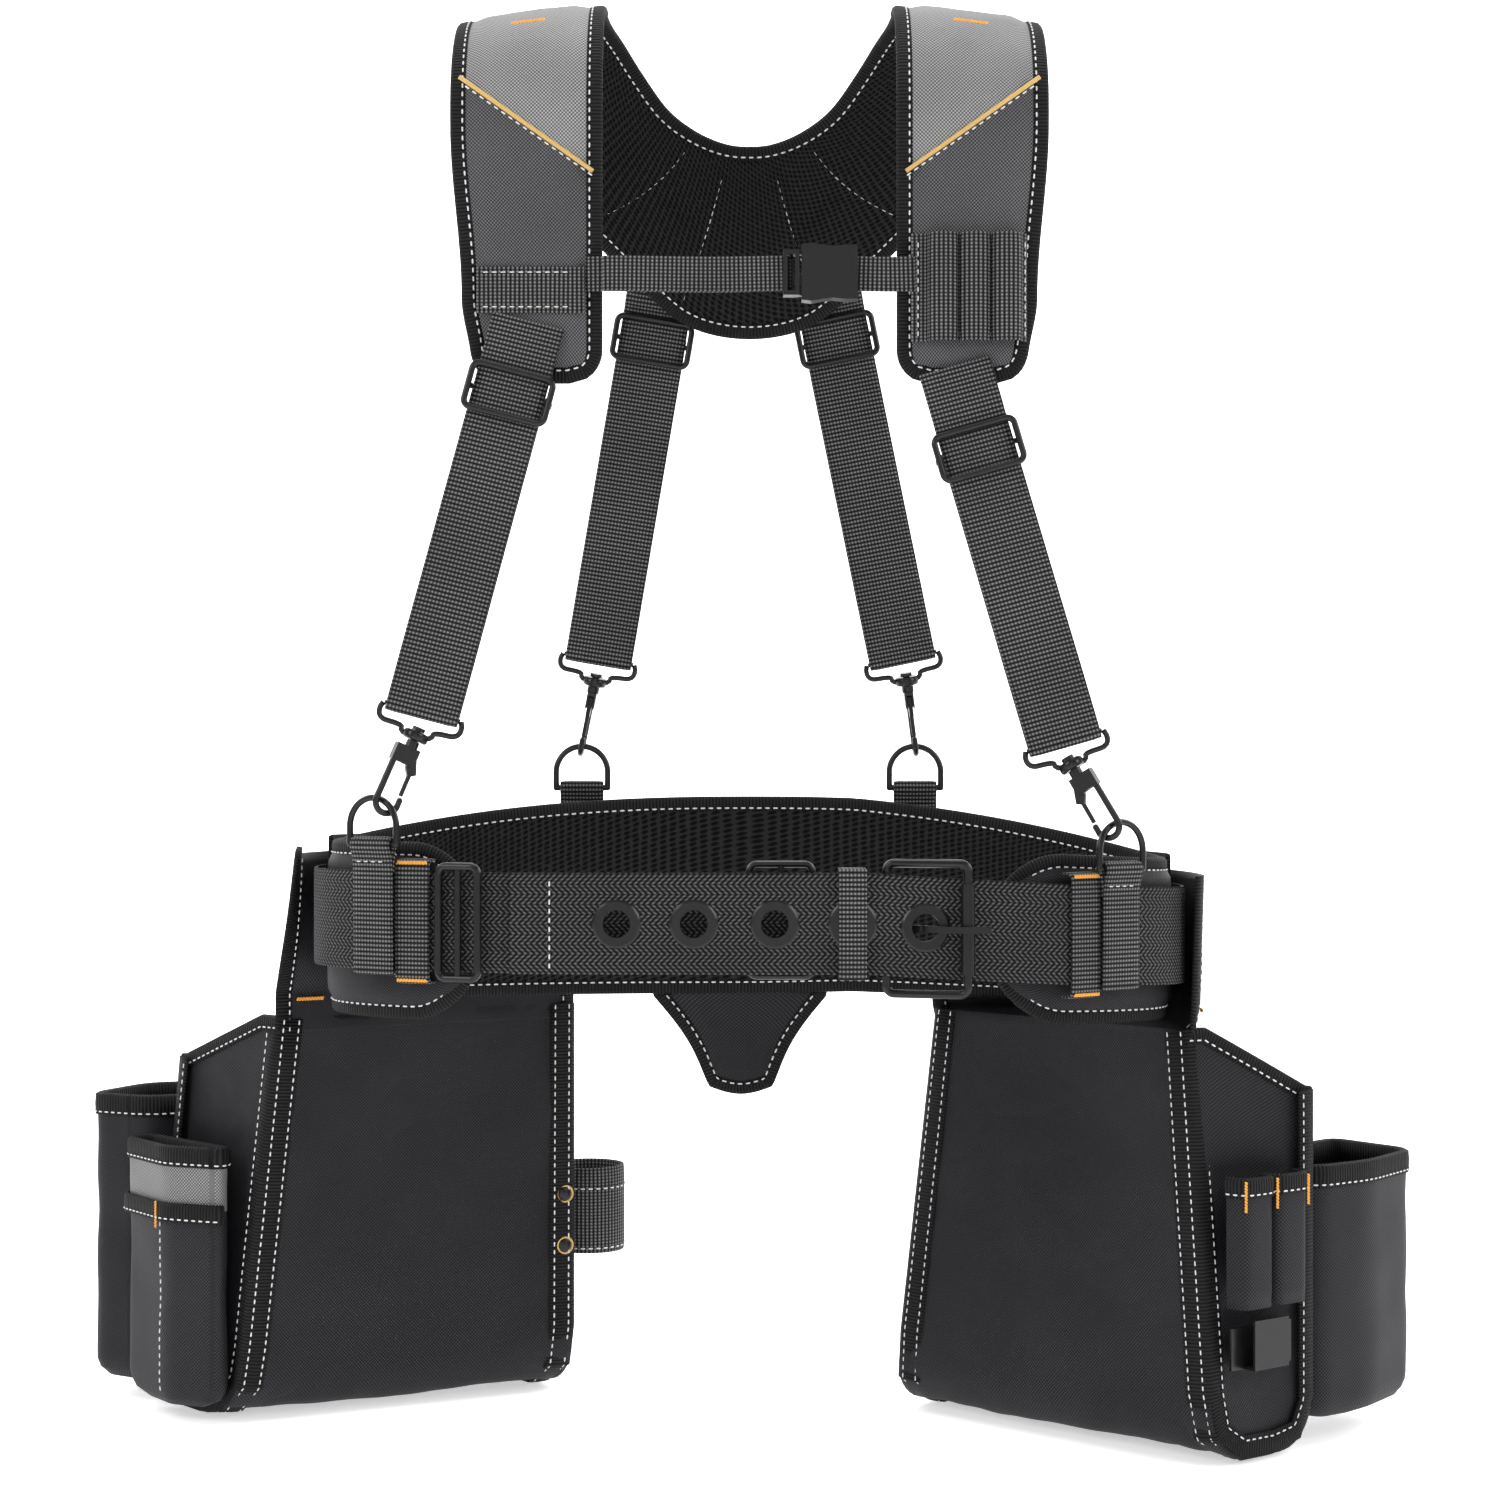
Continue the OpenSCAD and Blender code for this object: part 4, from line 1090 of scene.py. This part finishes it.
def hanger(name, bag, a0, a1, seed):
    """Upper cloth of a bag: from the top of its back panel, out past the padding, up to the belt."""
    def f(u, v):
        a = mix(a0, a1, u)
        foot = bag.plan(u, 0, BAG_H)
        low = outer(foot, waist(a, 8))
        x, y = waist(a, 10)
        rows = [Vector((foot.x, foot.y, BAG_H - 8)),
                Vector((mix(foot.x, low[0], 0.8), mix(foot.y, low[1], 0.8), BAG_H + 2)),
                Vector((low[0], low[1], 240)), Vector((mix(low[0], x, 0.5), mix(low[1], y, 0.5), 276)),
                Vector((x, y, 318 - drop(x)))]
        t = v * 4
        i = min(3, int(t))
        return rows[i].lerp(rows[i + 1], t - i)
    skin = Surface(f)
    quilt(name, skin, 50, 32, 2.4, ("cloth",), edge=2.4, ramp=12, relief=wrinkles(1.0, 34, seed),
          stand_for=name, slot="ballistic_cloth")
    face = skin.normal(0.07, 0.45)
    face = face if face.y < 0 else -face
    orange.bar(skin.f(0.1, 0.42) + face * 2.2, skin.f(0.2, 0.42) - skin.f(0.1, 0.42), face, 15, 2.2)
    edge_tape(name + "_binding", skin, [(0, 0), (0, 1)], -1, w=8, h=1.4)
    edge_tape(name + "_binding_far", skin, [(1, 0), (1, 1)], 1, w=8, h=1.4)


hanger("left_bag_hanger", left, 183, 122, 41.0)
hanger("right_bag_hanger", right, -14, 68, 43.0)

# side pockets of the left bag: a low front pocket with a divider, and the tall one behind it
SIDE_PLAN = [(-292, 42), (-288.3, 50.3), (-342.6, 106.4), (-356, 96), (-325, 55)]
parts, ring, normal, level = pouch("left_side_pocket", SIDE_PLAN, 8, 152, 2.0, r=7, tape=10, seed=33,
                                   mats=("cloth", "silver"), band_z=(118, 152), bulge=1.4)
# the low front pocket's rim, its divider seam and bartack
front = [i for i in range(len(ring)) if normal[i].dot(Vector((-0.75, -0.66, 0))) > -0.2]
start = next(i for i in front if (i - 1) % len(ring) not in front)
front = [(start + k) % len(ring) for k in range(len(front))]
rim = [level(ring, i, 0.78, False) + normal[i] * 1.6 for i in front]
tape_over("left_side_pocket_low_rim", rim, [normal[i] for i in front], 1.4, 9, parts)
k = front[len(front) // 2]
seam = [level(ring, k, t / 40, False) + normal[k] * 0.5 for t in range(2, 31)]
white.row(seam, [normal[k]] * len(seam))
orange.bar(level(ring, k, 0.74, False) + normal[k] * 3.2, Z_UP, normal[k], 14, 2.2)
join("left_side_pocket", parts)
OUTER_PLAN = [(-346, 110.5), (-262, 149.5), (-290, 204), (-362, 178), (-384, 128)]
parts, ring, normal, level = pouch("left_outer_bag", OUTER_PLAN, 5, 173, 2.6, r=12, tape=11, seed=35)
k = len(ring) // 3
orange.bar(level(ring, k, 0.05, False) + normal[k], (1, 0, 0.2), normal[k], 12)
join("left_outer_bag", parts)
OUTER_PLAN = [(304, -4), (338, 20), (372, 66), (336, 112), (263, 38)]
join("right_outer_bag", pouch("right_outer_bag", OUTER_PLAN, 10, 149, 2.6, r=12, tape=11, seed=37)[0])

# tool sleeves on the near end of the right bag
SX, SY = level_axes(37.8)
base = Vector((246.5, -50.4, 84)) + SX * 2 - SY * 12.4
plan = [(0, 11.6), (1.2, 5), (3, 1.4), (8, 0.4), (17, 0.4), (22, 1.4), (24.2, 5), (25.5, 10.4), (26.8, 5), (29, 1.4),
        (34, 0.4), (43, 0.4), (48, 1.4), (50, 5), (51, 11.6)]
pts = spline([base + SX * a + SY * b + Z_UP * 33 for a, b in plan], 1.2)
band("tool_sleeves", pts, Z_UP, 68, 1.5, "cloth", stand_for="tool_sleeves", slot="ballistic_cloth")
rim = [p + Z_UP * 33 for p in pts]
nor = [t.cross(Z_UP).normalized() for t in tangents(rim)]
tape_over("tool_sleeves_rim", rim, nor, 1.5, 9, [])
for a in (1.5, 25.5, 49.5):
    orange.bar(base + SX * a - SY * 0.2 + Z_UP * 58, Z_UP, -SY, 15, 2.2)

# hammer loop, riveted to the bag through two eyelets with gold rims
turn = math.radians(36)
foot = Vector((-115.25, 150.5, 103))
mid = foot + Vector((math.cos(turn), math.sin(turn), 0)) * 23.5
loop = [mid + Vector((math.cos(t), math.sin(t), 0)) * 20.9 for t in [2 * math.pi * k / 60 for k in range(60)]]
out = [t.cross(Z_UP) for t in tangents(loop, True)]
sweep("hammer_loop", loop, [Z_UP] * 60, out, flat_profile(50, 2.2), "web", closed=True,
      stand_for="hammer_loop", slot="webbing")
for z in (-22, 13):
    white.row([p + n * 1.3 + Z_UP * z for p, n in zip(loop, out)], out)

panel_n = Vector((0.433, -0.901, 0))
panel_x = Vector((0.901, 0.433, 0))
for z in (85, 115):
    mid = Vector((-108.5, 132.8, z)) + panel_n * 2.0
    spin = [2 * math.pi * k / 24 for k in range(24)]
    tube(f"rivet_rim_{z}", [mid + panel_x * 4.6 * math.cos(t) + Z_UP * 4.6 * math.sin(t) for t in spin], 0.8, "gold",
         closed=True)
    rows = [[mid + panel_n * h + panel_x * r * math.cos(t) + Z_UP * r * math.sin(t) for t in spin]
            for r, h in ((4.2, -1.5), (4.2, 0.3), (3.2, 1.2), (1.4, 1.6))]
    faces = [(j * 24 + k, j * 24 + (k + 1) % 24, j * 24 + 24 + (k + 1) % 24, j * 24 + 24 + k)
             for j in range(3) for k in range(24)]
    faces += [tuple(range(24))[::-1], tuple(range(72, 96))]
    make(f"rivet_{z}", [p for row in rows for p in row], faces, "wire")

white.done("webbing")
orange.done("webbing")

# ---------------------------------------------------------------- CAD pieces that are shown as they are
for node in [f"{k}_{part}" for k in STRAPS for part in ("adjuster", "hook", "gate", "ring")] + [
        "tongue_grommets", "buckle_frame", "buckle_roller", "buckle_prong", "belt_slider", "spare_slider",
        "tape_clip", "chest_buckle_socket", "chest_buckle_prongs"]:
    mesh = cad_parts[node].data
    mesh.materials.clear()
    mesh.materials.append(M["plastic" if "chest" in node else "wire"])

# ---------------------------------------------------------------- studio
# half width of the floor and its distance below the part, in metres
FLOOR_HALF, FLOOR_DROP = 9.0, 0.0008


def floor():
    """A pale floor that curves up into a backdrop."""
    verts, faces = [], []
    profile = [(-5.0, 0.0), (1.6, 0.0)]
    for a in range(6, 91, 6):
        back, up = polar(1.2, a)
        profile.append((1.6 + up, 1.2 - back))
    profile += [(2.8, 6.0)]
    for y, z in profile:
        verts += [(-FLOOR_HALF, y, z - FLOOR_DROP), (FLOOR_HALF, y, z - FLOOR_DROP)]
    for i in range(len(profile) - 1):
        faces.append((2 * i, 2 * i + 1, 2 * i + 3, 2 * i + 2))
    mesh = bpy.data.meshes.new("sweep")
    mesh.from_pydata(verts, [], faces)
    mesh.polygons.foreach_set("use_smooth", [True] * len(faces))
    g = Graph("studio_white", 0.6, specular=0.2)
    g.bsdf.inputs["Base Color"].default_value = (0.93, 0.93, 0.94, 1)
    g.bsdf.inputs["Emission Color"].default_value = (1, 1, 1, 1)
    g.bsdf.inputs["Emission Strength"].default_value = 0.5
    mesh.materials.append(g.mat)
    obj = bpy.data.objects.new("studio_sweep", mesh)
    bpy.context.scene.collection.objects.link(obj)


def lamp(name, where, aim, size, power, tall=None):
    data = bpy.data.lights.new(name, "AREA")
    data.energy = power
    data.shape = "RECTANGLE"
    data.size = size
    data.size_y = tall or size
    obj = bpy.data.objects.new(name, data)
    obj.location = where
    obj.rotation_euler = (Vector(aim) - Vector(where)).to_track_quat("-Z", "Y").to_euler()
    bpy.context.scene.collection.objects.link(obj)


floor()
lamp("key_left", (-1.7, -1.3, 1.5), (0, 0, 0.4), 0.8, 22, 1.4)
lamp("key_right", (1.8, -1.1, 1.4), (0, 0, 0.35), 0.8, 22, 1.4)
lamp("top", (0, 0.1, 2.3), (0, 0, 0.3), 1.2, 26)
lamp("front_low", (0, -2.6, 0.9), (0, 0, 0.3), 1.2, 8)
lamp("backdrop_left", (-2.0, 0.9, 1.8), (-0.4, 2.8, 0.9), 1.4, 60)
lamp("backdrop_right", (2.0, 0.9, 1.8), (0.4, 2.8, 0.9), 1.4, 60)
world = bpy.data.worlds.new("studio")
world.use_nodes = True
world.node_tree.nodes["Background"].inputs[0].default_value = (1, 1, 1, 1)
world.node_tree.nodes["Background"].inputs[1].default_value = 0.35
bpy.context.scene.world = world
bpy.context.scene.view_settings.view_transform = "Standard"

camera = bpy.data.objects.new("camera", bpy.data.cameras.new("camera"))
camera.data.sensor_width = 36
camera.data.lens = 69.65
camera.location = put((0, -1560, 374))
camera.rotation_euler = (math.pi / 2, 0, 0)
bpy.context.scene.collection.objects.link(camera)
bpy.context.scene.camera = camera
